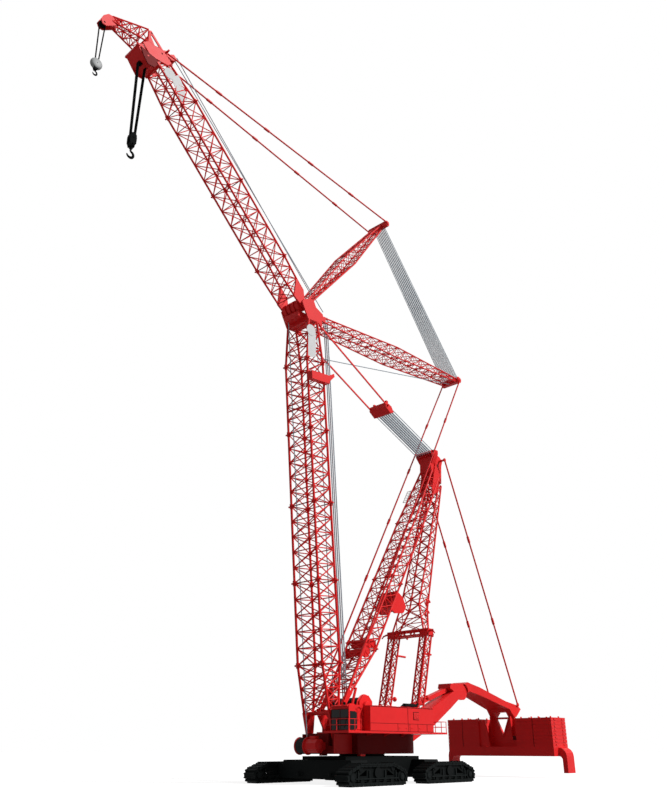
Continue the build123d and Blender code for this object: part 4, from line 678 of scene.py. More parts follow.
class CRANE_OT_tip(Operator):
    """Build the tip extension: its lattice, its cheeks and the sheave pin"""

    bl_idname = "crane.tip"
    bl_label = "Jib tip"

    def execute(self, context):
        brace = context.scene.crane_look.brace
        shapes = lattice(TIP_START, TIP_END, (TIP_W, TIP_D), (0.9, 0.7), 4, 0.1, brace * 0.8)
        tilt = heading(TIP_START, TIP_END)
        x, z = TIP_SHEAVE
        cheek = [ahead(TIP_END, tilt, -0.9, -0.42), (x - 0.3, z - 0.35), (x + 0.2, z - 0.35),
                 (TIP_X1, z + 0.2), (x + 0.25, z + 0.9), (x - 0.35, z + 1.6),
                 ahead(TIP_END, tilt, -1.2, 0.42)]
        shapes += [*legs(cheek, 0.38, 0.5), across(TIP_SHEAVE, 0.5, 0.12, 16)]
        made("jib_tip_lattice", shapes, "luffing_jib", "jib_tip")
        return {"FINISHED"}


def strut_shapes(foot, tip, leg_y, cross_y, widths, depths, bays, brace):
    """A strut that swells to its middle: two lattices end to end, solid feet, and a crosshead."""
    angle = heading(foot, tip)
    start = ahead(foot, angle, 1.2)
    mid = ((start[0] + tip[0]) / 2, (start[1] + tip[1]) / 2)
    foot_size, mid_size, tip_size = zip(widths, depths)
    shapes = lattice(start, mid, foot_size, mid_size, bays, 0.1, brace)
    shapes += lattice(mid, tip, mid_size, tip_size, bays, 0.1, brace)
    shapes += legs(foot_plate(foot, start, angle, 0.25, depths[0] / 2 + 0.1), leg_y - 0.15, leg_y + 0.15)
    shapes.append(blocks([(-0.35, 0.35, -cross_y, cross_y, -0.35, 0.35)], place3(tip, 0.0)))
    return shapes + [turned(ring(0.09, 0.08, 0.45), place3(tip, s * cross_y * 0.94), 24) for s in SIDES]


class CRANE_OT_struts(Operator):
    """Build the two struts behind the boom head"""

    bl_idname = "crane.struts"
    bl_label = "Struts"

    def execute(self, context):
        brace = context.scene.crane_look.brace * 0.75
        boom = strut_shapes(BOOM_STRUT_FOOT, BOOM_STRUT_TIP, 1.4, 1.6, (2.8, 3.0, 2.4), (0.7, 1.7, 0.5), 8,
                            brace)
        made("boom_strut_lattice", boom, "main_boom", "boom_strut")
        jib = strut_shapes(JIB_STRUT_FOOT, JIB_STRUT_TIP, 1.0, 1.8, (2.0, 2.6, 1.6), (0.6, 1.7, 0.5), 7,
                           brace)
        made("jib_strut_lattice", jib, "jib_strut_set", "jib_strut")
        return {"FINISHED"}


class CRANE_OT_mast(Operator):
    """Build the mast and the backhitch as round-tube lattices"""

    bl_idname = "crane.mast"
    bl_label = "Mast and backhitch"

    def execute(self, context):
        look = context.scene.crane_look
        chord, brace = look.chord * 0.87, look.brace * 0.85
        lean = heading(MAST_FOOT, MAST_BEND)
        start = ahead(MAST_FOOT, lean, MAST_LEG)
        size = (MAST_W, MAST_D)
        shapes = lattice(start, MAST_BEND, (MAST_W, MAST_LEG_D), size, 5, chord, brace)
        for k in range(3):
            low, high = mast_at(MAST_L * k / 3), mast_at(MAST_L * (k + 1) / 3)
            top = size if k < 2 else (MAST_TOP_W, MAST_D)
            shapes += lattice(low, high, size, top, 6, chord, brace, reach=0.25, sleeve=1.4)
        shapes += legs(foot_plate(MAST_FOOT, start, lean, 0.3, MAST_LEG_D / 2 + chord), 1.42, 1.68)
        side = ((6.2, 0.85), (8.9, 0.85), (8.9, 2.3), (8.2, 3.4), (7.2, 3.3), (6.2, 2.0))
        inside = ((6.3, 0.9), (8.8, 0.9), (8.75, 2.2), (8.1, 3.2), (6.35, 1.9))
        drum = even([(-1.55, 0.1), (-1.55, 0.62), (-1.35, 0.62), (-1.35, 0.42)])
        shapes += [*legs([mast_at(*row) for row in side], 1.05, MAST_WINCH_Y),
                   prism([mast_at(*row) for row in inside], -1.06, 1.06),
                   turned(drum, place3(ahead(MAST_FOOT, lean, 7.8, -0.3), 0.0), 24),
                   blocks([(-1.1, 0.7, -1.2, 1.2, -0.45, 0.5)], place3(ahead(MAST_FOOT, lean, 9.3), 0.0))]
        made("mast_lattice", shapes, "superstructure", "mast")
        start = ahead(HITCH_FOOT, heading(HITCH_FOOT, HITCH_SPLIT), 0.35)
        shapes = lattice(HITCH_TRUNK, HITCH_HEAD, (3.0, 1.8), (2.2, 0.6), 11, 0.12, brace)
        shapes += lattice(HITCH_SPLIT, HITCH_TRUNK, (5.2, 1.0), (3.0, 1.8), 2, 0.12, brace)
        x, z = HITCH_SPLIT
        rails = [(x + dx, 0.0, z + dz) for dx in (-0.55, 0.55) for dz in (-0.3, 0.3)]
        zigzag = spread(HITCH_SPLIT, 3.2, 9) + 0.3 * np.array([(0, 0, (-1) ** k) for k in range(9)])
        shapes += [bars(zigzag[:-1] + (dx, 0, 0), zigzag[1:] + (dx, 0, 0), brace, 6) for dx in (-0.55, 0.55)]
        shapes += [blocks([(-0.11, 0.11, -3.3, 3.3, -0.11, 0.11)], rails),
                   blocks([(-0.6, 0.6, -0.55, 0.55, -0.4, 0.4)], [(x, s * 2.75, z) for s in SIDES])]
        for s in SIDES:
            shapes += lattice(start, HITCH_SPLIT, (1.0, 1.0), (1.0, 1.0), 8, 0.12, brace * 0.9, y=s * 2.6)
            shapes.append(blocks([(-0.5, 0.5, -0.5, 0.5, 0.0, 0.5)], (HITCH_FOOT[0], s * 2.6, DECK_Z)))
        made("backhitch_lattice", shapes, "superstructure", "backhitch")
        return {"FINISHED"}


def rope(starts, ends, radius):
    """Ropes cut into short lengths."""
    return bars(starts, ends, radius, 6, BEND_CUTS)


def model(x, y, z):
    """A full-size place in the model's frame."""
    return ((x + SLEW_X) / SCALE, y / SCALE, z / SCALE)


def blended(name, shapes, finish, a, start, end):
    """A piece made on body a, then taken off every body and fixed where it stands."""
    piece = made(name, shapes, a, finish=finish)
    piece.parent = None
    del piece["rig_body"]
    model(*start)
    model(*end)
    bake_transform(piece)
    return piece


class CRANE_OT_ropes(Operator):
    """Run the tackles and the hoist ropes between the struts, the mast, the heads and the drums"""

    bl_idname = "crane.ropes"
    bl_label = "Ropes"

    def execute(self, context):
        r = context.scene.crane_look.rope_radius
        (x, z), (tip_x, tip_z) = BOOM_STRUT_TIP, JIB_STRUT_TIP
        shapes = [rope(spread((x, z + lift), TACKLE_LOW_Y), spread((tip_x - lift, tip_z), TACKLE_HIGH_Y), r)
                  for lift in (-0.22, 0.22)]
        blended("strut_tackle", shapes, "steel_rope", "main_boom", place3(BOOM_STRUT_TIP, 0),
                place3(JIB_STRUT_TIP, 0))
        x, z = EQUALIZER
        low, high = spread((x - 0.5, z - 0.2), TACKLE_Y), spread(TACKLE_TOP, TACKLE_Y)
        shapes = [bars(low + (0.0, 0.0, lift), high + (0.0, 0.0, lift), r, 6) for lift in (-0.3, 0.3)]
        made("boom_hoist_tackle", shapes, "hoist_pendants", finish="steel_rope")
        shapes = [rope(spread((6.25, 57.0), 0.3, 3), spread((2.75, 8.6), 0.3, 3), r * 1.3)]
        blended("rear_ropes", shapes, "steel_rope", "main_boom", (6.0, 0.0, 52.0),
                (2.9, 0.0, 10.0))
        shapes = [rope([(12.2, -1.0, 56.2)], [(7.75, -1.0, 4.35)], r)]
        blended("front_rope", shapes, "steel_rope", "main_boom", (11.8, -1.0, 50.0),
                (7.8, -1.0, 5.5))
        shapes = [bars([(9.0, 1.0, 55.5)], [(5.65, 1.0, 8.2)], r, 6)]
        made("inner_rope", shapes, "main_boom", finish="steel_rope")
        shapes = [rope([(33.6, 0.0, 83.2), (33.6, 0.5, 83.2)], [(6.7, 0.0, 57.8), (9.0, 0.5, 58.6)], r)]
        blended("jib_ropes", shapes, "steel_rope", "luffing_jib", (16.0, 0.0, 65.0),
                (8.0, 0.0, 58.0))
        shapes = [bars([(7.2, 0.0, 50.6)], [(-21.8, 0.0, 56.5)], r, 6)]
        made("strut_rope", shapes, "main_boom", finish="steel_rope")
        return {"FINISHED"}


def stay_bars(high, low, y_high, y_low, lengths):
    """A left and a right run of flat stay bars, with a thicker link at each joint and an eye at each end."""
    shapes = []
    t = np.linspace(0, 1, lengths + 1)[1:-1, None]
    for s in SIDES:
        a, b = np.array(place3(high, s * y_high)), np.array(place3(low, s * y_low))
        joint = a * (1 - t) + b * t
        half = unit(b - a) * 0.45
        shapes += [beams([a], [b], 0.12, 0.2, (0, 1, 0)),
                   beams(joint - half, joint + half, 0.2, 0.3, (0, 1, 0))]
        shapes += [turned(ring(0.07, 0.09, 0.26), end, 20) for end in (a, b)]
    return shapes


class CRANE_OT_stays(Operator):
    """Build the struts' stay bars and the hanging counterweight's straps"""

    bl_idname = "crane.stays"
    bl_label = "Stay bars"

    def execute(self, context):
        backstay_low = boom_at(2.3, 0.62)
        boom = stay_bars(BOOM_STRUT_TIP, backstay_low, 1.666, 2.166, 6)
        made("boom_stay_bars", boom, "main_boom", "boom_backstays", bevel=0.015)
        jib = stay_bars(JIB_STRUT_TIP, JIB_STAY_END, 1.866, 0.8, 5)
        made("jib_stay_bars", jib, "jib_strut_set", "jib_stays", bevel=0.015)
        straps = stay_bars(STRAP_TOP, STRAP_LOW, 2.116, 2.116, 3)
        made("weight_straps", straps, "superstructure", "counterweight_straps", bevel=0.015)
        return {"FINISHED"}


def hook_shapes(x, z, r):
    """A hook under (x, z): a straight shank, then a bowl that thickens to its middle and ends in a beak."""
    drop = r * 2.2
    bowl = bent((x, z - drop), r, 90, 352, count=28)
    path = np.vstack([[(x, 0.0, z), (x, 0.0, z - drop + r * 1.25)], bowl[1:]])
    size = np.interp(np.arange(len(path)), [0, 2, 16, 26, 28], [0.26, 0.28, 0.4, 0.22, 0.1]) * r
    nut = [(0.0, 0.02), (0.0, r * 0.5), (r * 0.35, r * 0.5), (r * 0.35, 0.02)]
    return [tube(path, size, sides=14), turned(nut, (x, 0, z - 0.1), 20, "z")]


def rope_legs(top, drop, wide, narrow, ys, radius):
    """Straight falls of rope down to a block: a front and a rear row, closing from wide to narrow."""
    x, z = top
    starts = [(x + s * wide, y, z) for s in SIDES for y in ys]
    ends = [(x + s * narrow, y * 0.9, z - drop) for s in SIDES for y in ys]
    return bars(starts, ends, radius, 8)


def sheave_row(centre, radius, ys, half=0.07):
    """Grooved rope sheaves on one pin."""
    rim = even([(-half, 0.08), (-half, radius), (-half * 0.4, radius)], [(0, radius * 0.88)])
    return [turned(rim, place3(centre, y), 28) for y in ys]


class CRANE_OT_hooks(Operator):
    """Hang the two sets of falls, with their blocks and hooks"""

    bl_idname = "crane.hooks"
    bl_label = "Falls and hooks"

    def execute(self, context):
        x, z = MAIN_SHEAVE
        base = z - MAIN_DROP
        ys = (-0.24, -0.08, 0.08, 0.24)
        cheek = even([(-0.18, 0.2), (-0.34, 0.05), (-0.42, -0.4), (-0.4, -1.2), (-0.2, -1.6)])
        shapes = [rope_legs(MAIN_SHEAVE, MAIN_DROP, 0.5, 0.27, ys, 0.062), *sheave_row(MAIN_SHEAVE, 0.6, ys),
                  *sheave_row((x, base - 0.4), 0.38, ys), *legs(cheek, 0.3, 0.38, (x, base)),
                  blocks([(-0.28, 0.28, -0.32, 0.32, -1.7, -1.15)], (x, 0.0, base)),
                  across([(x, base - 0.4), (x, base - 1.35)], (0.44, 0.48), 0.12, 16),
                  *hook_shapes(x, base - 1.8, 0.42)]
        made("main_falls_and_hook", shapes, "main_falls", "main_hook", "hook_black")
        x, z = TIP_SHEAVE
        base = z - TIP_DROP - 0.6
        ys = (-0.07, 0.07)
        link = even([(-0.2, 0.0), (-0.28, -0.6), (-0.14, -0.95)])
        shapes = [rope_legs(TIP_SHEAVE, TIP_DROP, 0.36, 0.2, ys, 0.055), *sheave_row(TIP_SHEAVE, 0.45, ys),
                  *legs(link, 0.05, 0.2, (x, base)), *hook_shapes(x, base - 0.8, 0.26)]
        made("tip_falls_and_hook", shapes, "tip_falls", "tip_hook", "hook_black")
        disc = even([(-0.3, 0.06), (-0.3, 0.5), (-0.22, 0.66), (-0.1, 0.72)])
        made("tip_block_cheeks", [turned(disc, (x, 0.0, base))], "tip_falls", finish="block_grey")
        return {"FINISHED"}


def belt_run():
    """The belt's line as pieces: length, a wheel's centre and radius, an outward angle and its turn."""
    low = BELT_T + SHOE_LUG + END_WHEEL_R
    high = POD_H - BELT_T - SHOE_LUG - TOP_WHEEL_R
    wheels = [(-END_WHEEL_X, low, END_WHEEL_R), (END_WHEEL_X, low, END_WHEEL_R),
              (TOP_WHEEL_X, high, TOP_WHEEL_R), (-TOP_WHEEL_X, high, TOP_WHEEL_R)]
    angles, runs = [], []
    for (x0, z0, r0), (x1, z1, r1) in zip(wheels, wheels[1:] + wheels[:1]):
        apart = np.hypot(x1 - x0, z1 - z0)
        angles.append(atan2(z1 - z0, x1 - x0) - np.arccos((r0 - r1) / apart))
        runs.append((apart ** 2 - (r0 - r1) ** 2) ** 0.5)
    pieces = []
    for i, (x, z, r) in enumerate(wheels):
        turn = (angles[i] - angles[i - 1]) % (2 * pi)
        pieces += [(turn * r, x, z, r, angles[i - 1], turn), (runs[i], x, z, r, angles[i], 0.0)]
    return pieces


def belt_frames(pieces, along):
    """For each distance along the belt: its (x, z) place and its outward angle."""
    ends = np.cumsum([piece[0] for piece in pieces])
    which = np.searchsorted(ends, along)
    rows = np.asarray(pieces, float)[which]
    past = along - (ends[which] - rows[:, 0])
    a = rows[:, 4] + rows[:, 5] * past / rows[:, 0]
    run = np.where(rows[:, 5] > 0, 0.0, past)
    at = np.stack([rows[:, 1] + rows[:, 3] * np.cos(a) - run * np.sin(a),
                   rows[:, 2] + rows[:, 3] * np.sin(a) + run * np.cos(a)], -1)
    return at, a


def along_belt(outline, at, angle, x, y0, y1):
    """One outline of (along, rise) rows set square to the belt at every place, and carried from y0 to y1."""
    flat = np.asarray(outline, float)
    out = np.stack([np.cos(angle), np.sin(angle)], -1)
    step = np.stack([-out[:, 1], out[:, 0]], -1)
    rim = at[:, None] + flat[None, :, :1] * step[:, None] + flat[None, :, 1:] * out[:, None]
    count, size = rim.shape[:2]
    points = np.zeros((2, count, size, 3))
    points[..., 0], points[..., 2] = x + rim[..., 0], rim[..., 1]
    points[0, ..., 1], points[1, ..., 1] = y0, y1
    i = np.arange(2 * count * size).reshape(2, count, size)
    return points.reshape(-1, 3), [skin(i), i[0, :, ::-1], i[1]]


class CRANE_OT_tracks(Operator):
    """Lay the shoes and links of the four belts, and fit out the pods' frames"""

    bl_idname = "crane.tracks"
    bl_label = "Tracks"

    def execute(self, context):
        pieces = belt_run()
        total = sum(piece[0] for piece in pieces)
        count = round(total / SHOE_PITCH)
        pitch = total / count
        at, angle = belt_frames(pieces, (np.arange(count) + 0.5) * pitch)
        scale = (pitch / 2, 1.0)
        shoe = np.array(even([(0.92, 0.0), (0.92, 0.1), (0.76, 0.2), (0.5, 0.2), (0.38, 0.13)])) * scale
        link = np.array(even([(0.5, -0.17), (1.04, -0.12), (1.04, 0.02)])) * scale
        hub = [(-0.06, 0.02), (-0.06, 0.36), (0.03, 0.3), (0.05, 0.12), (0.05, 0.02)]
        z = BELT_T + SHOE_LUG + END_WHEEL_R
        for name, sx, sy in PODS:
            x, y = sx * POD_X, sy * POD_Y
            shapes = [along_belt(shoe, at, angle, x, y - BELT_W / 2, y + BELT_W / 2)]
            shapes += [along_belt(link, at, angle, x, near - 0.05, near + 0.05)
                       for near in (y - 0.79, y + 0.79)]
            made(f"shoes_{name}", shapes, "undercarriage", f"track_{name}", "track_steel")
            shapes = []
            for s in SIDES:
                face = y + s * FRAME_W / 2
                for wheel in (x - END_WHEEL_X, x + END_WHEEL_X):
                    centre = (wheel, face + s * 0.2, z)
                    shapes += [turned([(s * a, r) for a, r in hub], centre, 24),
                               turned(ring(0.09, 0.36, 0.56), (wheel, face, z), 28),
                               bolts(centre, 0.24, 10, s * 0.06, 0.028)]
                ribs = [(x + rib, face, 0.0) for rib in (-2.9, -1.2, 1.2, 2.9)]
                shapes += [blocks([(-0.06, 0.06, 0.0, s * 0.12, 0.5, 1.45)], ribs),
                           blocks([(-3.3, 3.3, 0.0, s * 0.16, 0.66, 0.76)], (x, face, 0.0))]
            made(f"pod_fittings_{name}", shapes, "undercarriage", finish="hub_grey")
        return {"FINISHED"}


def wound(y0, y1, core, pitch):
    """A drum's wound layer of rope: the profile is a row of half rounds, one for each turn."""
    turns = int(round((y1 - y0) / pitch))
    s = np.linspace(0, turns, turns * 4 + 1)
    rise = np.abs(np.sin(pi * s)) * pitch / 2
    rows = np.stack([y0 + s * (y1 - y0) / turns, core + rise], -1)
    return np.vstack([[(y0, 0.05)], rows, [(y1, 0.05)]])


class CRANE_OT_drums(Operator):
    """Wind the drums and give them their drives and bearings"""

    bl_idname = "crane.drums"
    bl_label = "Drums"

    def execute(self, context):
        x, z = FRONT_DRUM
        at = (x, 0.0, z)
        coil = turned(wound(-1.68, -0.54, 0.76, 0.09), at, 40)
        made("front_drum_rope", [coil], "superstructure", finish="load_rope")
        box = [ahead(FRONT_DRUM, a, 0.74) for a in (20, 65, 115, 160, 205, 250, 290, 335)]
        arm = [(7.1, z - 0.65), (x + 0.3, z - 0.65), (x + 0.3, z + 0.35), (7.1, z + 0.75)]
        cap = [(1.28, 0.02), (1.28, 0.5), (1.34, 0.5), (1.42, 0.4), (1.42, 0.02)]
        shapes = [turned(flange(0.9), (x, y, z), 40) for y in (-1.76, -0.46)]
        shapes += [prism(box, -0.4, 1.3), turned(cap, at, 28), bolts((x, 1.28, z), 0.6, 12, 0.09, 0.035)]
        shapes += [prism(arm, y, y + 0.12) for y in (-1.94, -0.3)]
        shapes.append(blocks([(7.1, 7.7, 0.2, 1.2, z - 0.4, z + 0.35),
                              (x - 0.25, x + 0.35, 0.1, 0.9, z + 0.7, z + 0.98)]))
        made("front_drum_casing", shapes, "superstructure", "front_drum", bevel=0.02)
        shapes, winds = [], []
        boss = even([(-0.3, 0.02), (-0.3, 0.5), (-0.1, 0.62)])
        for x, z, core, rim in DECK_DRUMS:
            winds.append(turned(wound(-2.16, 2.16, core + 0.02, 0.12), (x, 0.0, z), 40))
            plate = even([(-rim * 0.35, z + rim * 0.9), (-rim * 0.8, z + rim * 0.45), (-rim * 0.8, DECK_Z)])
            shapes += legs(plate, 2.3, 2.5, (x, 0.0))
            for s in SIDES:
                shapes += [turned(flange(rim), (x, s * 2.24, z), 40), turned(boss, (x, s * 2.5, z)),
                           bolts((x, s * 2.55, z), 0.56, 12, s * 0.1, 0.04)]
        made("drum_stands", shapes, "superstructure", "hoist_drums", bevel=0.02)
        made("drum_ropes", winds, "superstructure", finish="load_rope")
        return {"FINISHED"}


class CRANE_OT_house(Operator):
    """Fit out the two houses, the cab and the bed: panel joints and painted shade, louvres, roof plates,
    exhaust, glass and feet
    """

    bl_idname = "crane.house"
    bl_label = "Houses and cab"

    def execute(self, context):
        spans = [(-1.15, -1.11, 5.22, 7.66), (-5.7, 5.15, 5.99, 6.02), (-5.75, 5.2, 7.66, ROOF_Z),
                 (-5.7, 5.15, DECK_Z, 5.24)]
        spans += [(x - 0.02, x + 0.02, 5.22, 6.0) for x in (0.66, -1.43, -2.86, -4.51)]
        seams_and_shade, plates, slats = [], [], []
        for s, end, grips in ((1, 5.2, (0.3, -0.9, -1.9, -3.3)), (-1, 0.4, (-0.9, -1.9, -3.3))):
            seams_and_shade += [(x0, min(x1, end), s * HOUSE_Y, s * (HOUSE_Y + 0.02), z0, z1)
                      for x0, x1, z0, z1 in spans if x0 < end]
            seams_and_shade.append((-3.05, -2.1, s * HOUSE_Y, s * (HOUSE_Y + 0.03), 6.44, 7.28))
            plates += [(x, x + 0.18, s * HOUSE_Y, s * (HOUSE_Y + 0.06), 5.55, 5.6) for x in grips]
            plates += [(x, x + 0.8, s * 3.6, s * 5.4, ROOF_Z + 0.04, ROOF_Z + 0.1)
                       for x in np.arange(-5.3, end - 1.25, 1.35)]
            plates.append((-5.7, end - 0.05, s * 3.05, s * 5.95, ROOF_Z, ROOF_Z + 0.04))
            slat = [(0.0, 0.0), (0.0, 0.1), (s * 0.05, 0.02), (s * 0.05, 0.0)]
            slats += [prism(slat, -3.0, -2.15, "x", (s * (HOUSE_Y + 0.03), z))
                      for z in np.arange(6.5, 7.22, 0.12)]
        # The panel joints, the strip under the roof's edge and the backing behind the louvres are near-black
        # red; the strip and the backing are painted shade.
        made("house_seams_and_shade", [blocks(seams_and_shade)], "superstructure", finish="seam_dark")
        made("house_fittings", [*slats, blocks(plates)], "superstructure")
        pipe = [tube([(-3.4, 3.6, 8.06), (-5.5, 3.6, 8.06)], 0.26, sides=20),
                tube([(-3.4, 3.6, 8.06), (-3.0, 3.6, 7.98), (-2.8, 3.6, 7.7)], 0.12, sides=12),
                bars([(-5.4, 3.6, 8.06), (-3.7, 3.6, 7.7), (-5.0, 3.6, 7.7)],
                     [(-6.1, 3.6, 8.32), (-3.7, 3.6, 8.0), (-5.0, 3.6, 8.0)], 0.11, 12)]
        made("exhaust", pipe, "superstructure", finish="black_paint")
        x, y0, y1 = CAB_FACE_X, CAB_RIGHT_Y, CAB_LEFT_Y
        pane = [(6.2, 5.6), (6.45, 5.3), (7.32, 5.3), (7.32, 7.08), (6.4, 7.08), (6.2, 6.9)]
        shapes = [blocks([(x, x + 0.03, 2.48, 3.71, 5.32, 7.3), (x, x + 0.03, 3.8, 4.93, 5.32, 7.3)]),
                  prism(pane, y1, y1 + 0.03), prism(pane, y0 - 0.03, y0)]
        made("cab_outer_glass", shapes, "superstructure", finish="tinted_glass")
        rows = [(x, x + 0.06, y, y + 0.05, 5.28, 7.34) for y in (2.44, 3.73, 4.92)]
        rows += [(x, x + 0.06, 2.44, 4.97, z, z + 0.05) for z in (5.28, 6.5, 7.3)]
        made("cab_window_bars", [blocks(rows)], "superstructure", finish="seam_dark")
        eaves = [(x - 0.05, 7.66), (x + 0.22, 7.6), (x + 0.24, 7.68), (x - 0.05, 7.8)]
        roof = [(5.3, 7.45, y0 + 0.1, y1 - 0.1, 7.75, 7.8), (5.7, 6.5, 3.2, 4.2, 7.8, 7.95),
                (6.2, 6.26, y1, y1 + 0.04, 5.3, 7.6)]
        arch = tube(bent((6.0, 7.2), 0.42, 20, 165, y1 + 0.02, 14), 0.05)
        made("cab_trim", [prism(eaves, y0 + 0.05, y1 - 0.05), arch, blocks(roof)], "superstructure")
        wiper = bars([(x + 0.07, 3.1, 5.5), (x + 0.07, 4.4, 5.5)],
                     [(x + 0.08, 3.5, 6.6), (x + 0.08, 4.75, 6.6)], 0.018, 6)
        lamp = [(-0.08, 0.02), (-0.08, 0.12), (0.06, 0.16), (0.06, 0.02)]
        lamps = [turned(lamp, (x + 0.12, y, 7.9), 16, "x") for y in (2.9, 4.5)]
        made("cab_wipers_and_lamps", [wiper, *lamps], "superstructure", finish="black_paint")
        box = [(4.25, 2.98), (7.1, 2.98), (7.1, 4.93), (4.25, 4.93)]
        feet = blocks([(2.9, 3.7, -0.25, 0.25, 2.75, 3.05)], [(0.0, s * 2.9, 0.0) for s in SIDES])
        made("bed_feet", [feet, *legs(box, 2.4, 2.44)], "superstructure")
        return {"FINISHED"}


class CRANE_OT_weights(Operator):
    """Add the counterweight's lugs, lifting eyes, painted shade between the stacks, posts, and the blank
    plates
    """

    bl_idname = "crane.weights"
    bl_label = "Weights and blank plates"

    def execute(self, context):
        lugs = [(x - 0.2, x + 0.2, s * STACK_Y, s * (STACK_Y + 0.06), z + 0.1, z + 0.32)
                for x in (-28.98, -30.98) for s in SIDES for z in SLAB_LOW_Z + SLAB_PITCH * np.arange(SLABS)]
        lugs += [(x - 0.12, x + 0.12, y - 0.05, y + 0.05, 7.26, 7.48)
                 for y0, y1 in STACKS for x in (-31.0, -28.9) for y in (y0 + 0.5, y1 - 0.5)]
        made("slab_lugs", [blocks(lugs)], "counterweight")
        # Near-black sheets in the gaps between the weight stacks: painted shade.
        dark = [(-31.7, -28.1, 5.5, 5.6, 3.75, 7.2), (-31.7, -28.1, -5.95, -5.85, 3.75, 7.2),
                (-29.5, -29.44, 1.5, 2.15, 4.55, 5.05)]
        made("slab_gap_shade", [blocks(dark)], "counterweight", finish="seam_dark")
        post = [(-29.5, 5.1), (-29.0, 5.1), (-28.85, 7.6), (-29.5, 7.6)]
        wing = [(-3.1, 3.74), (-1.5, 3.74), (-1.9, 6.2), (-2.3, 7.0), (-3.1, 7.0)]
        rim = [(0.12, 5.0), (1.12, 7.35), (1.0, 7.42), (0.0, 5.2)]
        frames = [*legs(post, 1.52, 1.68), prism(wing, -28.4, -28.28, "x")]
        frames += [prism([(s * y, z) for y, z in rim], -29.48, -29.38, "x") for s in SIDES]
        made("hanger_posts", frames, "counterweight")
        disc = [(0.0, 0.02), (0.0, 0.78), (0.05, 0.78), (0.05, 0.02)]
        plate = [(11.45, 51.9), (10.1, 52.45), (10.05, 49.1), (11.39, 48.6)]
        shapes = [prism(plate, 2.05, 2.1), turned(disc, (10.95, 2.08, 52.6), 36)]
        made("boom_blank_plate", shapes, "main_boom", finish="white_paint")
        plate = [(34.65, 78.49), (33.58, 79.76), (32.1, 76.77), (32.92, 75.88)]
        shapes = [prism(plate, 1.4, 1.46), turned(disc, (34.9, 1.42, 78.94), 36)]
        made("jib_blank_plate", shapes, "luffing_jib", finish="white_paint")
        plate = [(-22.5, 10.78), (-24.1, 10.16), (-24.15, 10.12), (-24.15, 10.5), (-22.5, 11.05)]
        made("beam_blank_plate", [prism(plate, 1.24, 1.3)], "counterweight", finish="white_paint")
        return {"FINISHED"}


